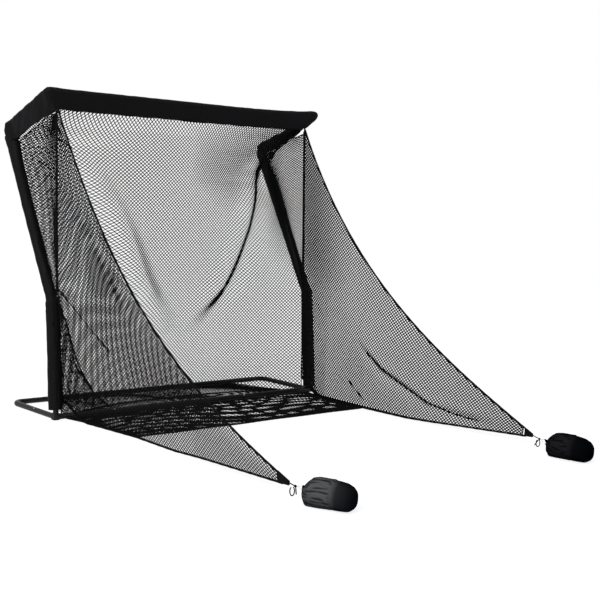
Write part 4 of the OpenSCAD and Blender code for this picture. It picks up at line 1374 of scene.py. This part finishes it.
def bag_finish(name, deep, pale):
    material = finish(name, deep, pale, (0.5, 0.68), threads=380.0, relief=0.0003, grain=0.001,
                      grain_scale=70.0, specular=0.0)
    tree = material.node_tree
    shader = tree.nodes["Principled BSDF"]
    field = node(tree, "ShaderNodeAttribute", attribute_name="tone")
    # Painted shade: the colour darkens where the surface turns away from the camera.
    facing = node(tree, "ShaderNodeLayerWeight", Blend=0.35)
    rim_shade = node(tree, "ShaderNodeMapRange",
               **{"From Min": 0.30, "From Max": 0.72, "To Min": 1.0, "To Max": 0.0})
    tree.links.new(facing.outputs["Facing"], rim_shade.inputs["Value"])
    share = node(tree, "ShaderNodeMath", operation="MULTIPLY")
    tree.links.new(field.outputs["Fac"], share.inputs[0])
    tree.links.new(rim_shade.outputs["Result"], share.inputs[1])
    mix = node(tree, "ShaderNodeMix", data_type="RGBA", A=(*deep, 1), B=(*pale, 1))
    tree.links.new(share.outputs[0], mix.inputs["Factor"])
    tree.links.new(mix.outputs["Result"], shader.inputs["Base Color"])
    return material


bag_looks = {
    -1: bag_finish("charcoal bag cloth", (0.0025, 0.0034, 0.0045), (0.078, 0.078, 0.080)),
    1: bag_finish("black bag cloth", (0.0012, 0.0016, 0.0022), (0.0125, 0.0125, 0.0135)),
}
for side, piece in bags.items():
    paint_tone_and_shade(piece, side)
    put_material(piece, bag_looks[side])

# %% [markdown]
# Each bag's mouth has two small pointed ears, where the drawstring comes out of its hem.

# %% Bag ears
RIGHTWARD = np.array([math.cos(CAMERA_YAW), math.sin(CAMERA_YAW), 0])
EARS = {-1: ((-1.127, -2.457, 0.086), (-1.140, -2.465, 0.070)),
        1: ((1.052, -2.457, 0.095), (1.046, -2.467, 0.066))}


def ear(side, spot, number):
    deselect()
    bpy.ops.mesh.primitive_cone_add(vertices=16, radius1=0.011, radius2=0.003, depth=0.026)
    piece = made("bag_ear_%s_%d" % ("left" if side < 0 else "right", number))
    deeper = np.array([MOUTH[side][0], MOUTH[side][1] - 0.03, 0.07])
    way = unit(np.array(spot) - deeper)
    turn = Vector((0, 0, 1)).rotation_difference(Vector(way)).to_matrix()
    points = points_of(piece) @ np.array(turn).T
    move_points(piece, points + np.array(spot) + (0, FORWARD, 0) - way * 0.011)
    smooth(piece, 60)
    put_material(piece, bag_looks[side] if side > 0 else rope_black)
    return piece


ears = {side: [ear(side, spot, i) for i, spot in enumerate(spots)] for side, spots in EARS.items()}

# %% [markdown]
# A limp black cord is tied to each barrier's tip. It runs to a knot, makes a bow loop that hangs down,
# and comes back into the knot; a short tail hangs beside it. Two thin grey drawstrings join the knot to
# the bag's ears.

# %% Tie cords and drawstrings
CORD, STRING = 0.0068, 0.0022
KNOT_AT = {-1: np.array([-1.1485, -2.4205, 0.0775]), 1: np.array([1.0985, -2.3805, 0.0780])}
CORD_START = {-1: np.array([-1.132, -2.352, 0.078]), 1: np.array([1.157, -2.282, 0.078])}


def length_of(route):
    return float(np.linalg.norm(np.diff(route, axis=0), axis=1).sum())


def loop_route(side):
    knot = KNOT_AT[side]
    straight = spread([CORD_START[side], (CORD_START[side] + knot) / 2 - (0, 0, 0.002), knot], 9)
    middle = knot - RIGHTWARD * (0.017 if side < 0 else 0.008) - (0, 0, 0.029)
    angles = np.radians(np.linspace(62, -238, 22))
    bend = [middle + RIGHTWARD * 0.0125 * math.cos(a) + np.array([0, 0, 0.025 * math.sin(a)]) for a in angles]
    return np.vstack([straight, bend])


def tail_route(side):
    knot = KNOT_AT[side]
    lean_way = RIGHTWARD * (0.006 if side < 0 else -0.030)
    return np.array([knot - (0, 0, 0.003) + lean_way * t + np.array([0, 0, -0.043 * t ** 1.3])
                     for t in np.linspace(0, 1, 15)])


def string_route(side, number):
    start = KNOT_AT[side] + RIGHTWARD * 0.006
    end = np.array(EARS[side][number])
    return np.array([start + (end - start) * t - (0, 0, 0.003 * math.sin(math.pi * t))
                     for t in np.linspace(0, 1, 15)])


def knot_lump(side, word):
    parts = []
    for size, tilt in ((0.0085, 0.3), (0.0075, 1.4), (0.0068, 2.4)):
        deselect()
        bpy.ops.mesh.primitive_torus_add(major_radius=size * 0.62, minor_radius=0.0030, major_segments=24,
                                         minor_segments=10)
        part = made("knot part")
        turn = np.array(Matrix.Rotation(tilt, 3, "X") @ Matrix.Rotation(tilt * 1.7, 3, "Z"))
        move_points(part, points_of(part) @ turn.T)
        parts.append(part)
    join(parts)
    knot = made("tie_knot_" + word)
    move_points(knot, points_of(knot) + KNOT_AT[side] + (0, FORWARD, 0))
    smooth(knot)
    put_material(knot, rope_black)
    return knot


tie_pieces = {-1: [], 1: []}
for side, word in SIDES:
    knot = knot_lump(side, word)
    route = shift(loop_route(side))
    tie = tube_along("tie_cord_" + word, route, CORD / 2)
    put_material(tie, rope_black)
    tail = shift(tail_route(side))
    end = tube_along("tie_tail_" + word, tail, CORD / 2)
    put_material(end, rope_black)
    tie_pieces[side] += [knot, tie, end]
    for number in (0, 1):
        way = shift(string_route(side, number))
        string = tube_along("drawstring_%s_%d" % (word, number), way, STRING / 2)
        put_material(string, string_grey)
        tie_pieces[side].append(string)
    print(word, "tie cord", round(length_of(route), 3), "m, tail", round(length_of(tail), 3), "m")

# %% [markdown]
# An elastic runs from each upright, just above its foot block, to the barrier's lower corner, which it
# holds back. It is drawn as two strands that bow apart, as a loop does. The right one is pale, and shows
# against the black netting.

# %% Foot elastics
ELASTIC_RADIUS, ELASTIC_BOW = 0.0024, 0.010


def elastic_loop(side, word, material):
    start = np.array([side * (SIDE - 0.012), -0.018, 0.088])
    end = np.array([side * (SIDE - 0.050), -0.165, 0.030])
    along = unit(end - start)
    across = unit(np.cross(along, [side, 0, 0]))
    strands = []
    for bow, part in ((ELASTIC_BOW, ""), (-ELASTIC_BOW, "back_")):
        route = [start + (end - start) * t + across * bow * math.sin(math.pi * t)
                 for t in np.linspace(0, 1, 18)]
        strands.append(tube_along("foot_elastic_" + part + word, shift(route), ELASTIC_RADIUS))
    put_material(join(strands), material)
    return strands[0]


elastics = [elastic_loop(-1, "left", rope_black), elastic_loop(1, "right", elastic_grey)]

# %% [markdown]
# Each piece rides on the body it is fixed to, and stands for the solid nodes it was made over. A net's
# area is half the skin of its twine, held between a least share of its flat size and the whole of it, so
# it says how much thread there is rather than how large the cloth is.

# %% Rides
LEAST_SHARE = 0.301


def covered_area(piece):
    """Half the surface of a closed mesh, as cloth has two sides."""
    areas = np.empty(len(piece.data.polygons))
    piece.data.polygons.foreach_get("area", areas)
    return float(areas.sum()) / 2


def cloth(piece, size, held, rests, *nodes):
    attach(piece, "frame")
    if nodes:
        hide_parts(*nodes)
    whole = size[0] * size[1]
    area = min(max(covered_area(piece), LEAST_SHARE * whole), whole)


for piece in main_strips:
    cloth(piece, (0.80, 2.55), "hung", ("crossbar_sleeve",), "main_net")
cloth(apron, (2.10, 0.76), "laid", ("front_bar_middle",), "apron_net")
cloth(floor_cloth, (2.10, 0.56), "laid", ("rear_bar",), "floor_net")
for side, word in SIDES:
    cloth(side_nets[side], (0.62, 1.25), "stretched", ("edge_rope_" + word,), "side_net_" + word)
    cloth(barriers[side], (2.25, 2.55), "stretched", ("barrier_rope_" + word,), "barrier_net_" + word)
    for part in ("arm", "upper", "lower"):
        cover = covers[part][side]
        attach(cover, "frame")
        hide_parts(part + "_sleeve_" + word)
cloth(gather, (0.45, 0.85), "gathered", ("lower_sleeve_left",))
for piece, word in zip(gussets, ("left", "right")):
    cloth(piece, (0.48, 0.14), "stretched", ("arm_sleeve_" + word,))
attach(crossbar_cover, "frame")
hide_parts("crossbar_sleeve", "foam_padding")
for piece, name in ropes:
    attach(piece, "frame")
    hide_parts(name)
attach(hem, "frame")
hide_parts("apron_hem")
for piece in (*seams, *patches, *elastics):
    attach(piece, "frame")
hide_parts("foot_bungees")
for side, word in SIDES:
    body = "bag_" + word
    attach(bags[side], body)
    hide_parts("sandbag_" + word, "sand_fill_" + word)
    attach(tie_pieces[side][1], body)
    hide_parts("bag_cord_" + word)
    for piece in (tie_pieces[side][0], *tie_pieces[side][2:], *ears[side]):
        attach(piece, body)

# %% [markdown]
# The studio: a plain white floor and a white surround. The floor is lifted for the camera only, so that it
# meets the background without a line and keeps the soft shadow under the object. For all other rays it is a
# plain pale surface.

# %% Floor, world and lamps


def floor_material():
    material = bpy.data.materials.new("studio floor")
    material.use_nodes = True
    tree = material.node_tree
    tree.nodes.clear()
    link = tree.links.new
    out = node(tree, "ShaderNodeOutputMaterial")
    plain = node(tree, "ShaderNodeBsdfDiffuse", Color=(0.85, 0.85, 0.85, 1))
    soft = node(tree, "ShaderNodeBsdfDiffuse", Color=(0.34, 0.34, 0.34, 1))
    lift = node(tree, "ShaderNodeEmission", Color=(1, 1, 1, 1), Strength=0.80)
    seen = node(tree, "ShaderNodeAddShader")
    mix = node(tree, "ShaderNodeMixShader")
    path = node(tree, "ShaderNodeLightPath")
    link(soft.outputs[0], seen.inputs[0])
    link(lift.outputs[0], seen.inputs[1])
    link(path.outputs["Is Camera Ray"], mix.inputs[0])
    link(plain.outputs[0], mix.inputs[1])
    link(seen.outputs[0], mix.inputs[2])
    link(mix.outputs[0], out.inputs["Surface"])
    return material


def studio_world():
    world = bpy.data.worlds.new("studio")
    world.use_nodes = True
    scene.world = world
    tree = world.node_tree
    tree.nodes.clear()
    out = node(tree, "ShaderNodeOutputWorld")
    room = node(tree, "ShaderNodeBackground", Color=(0.62, 0.63, 0.65, 1), Strength=1.0)
    white = node(tree, "ShaderNodeBackground", Color=(1, 1, 1, 1), Strength=1.0)
    mix = node(tree, "ShaderNodeMixShader")
    path = node(tree, "ShaderNodeLightPath")
    tree.links.new(path.outputs["Is Camera Ray"], mix.inputs[0])
    tree.links.new(room.outputs[0], mix.inputs[1])
    tree.links.new(white.outputs[0], mix.inputs[2])
    tree.links.new(mix.outputs[0], out.inputs["Surface"])
    return world


def soft_lamp(name, place, aim, size, power):
    data = bpy.data.lights.new(name, "AREA")
    data.shape = "DISK"
    data.size = size
    data.energy = power
    lamp = bpy.data.objects.new(name, data)
    scene.collection.objects.link(lamp)
    way = Vector(aim) - Vector(place)
    lamp.rotation_euler = way.to_track_quat("-Z", "Y").to_euler()
    lamp.location = place
    return lamp


deselect()
bpy.ops.mesh.primitive_plane_add(size=120, location=(0, 0, 0))
floor = made("floor")
put_material(floor, floor_material())
studio_world()
key = soft_lamp("key", place=(-8.5, -2.5, 7.0), aim=(0, 0.3, 0.8), size=4.5, power=620)
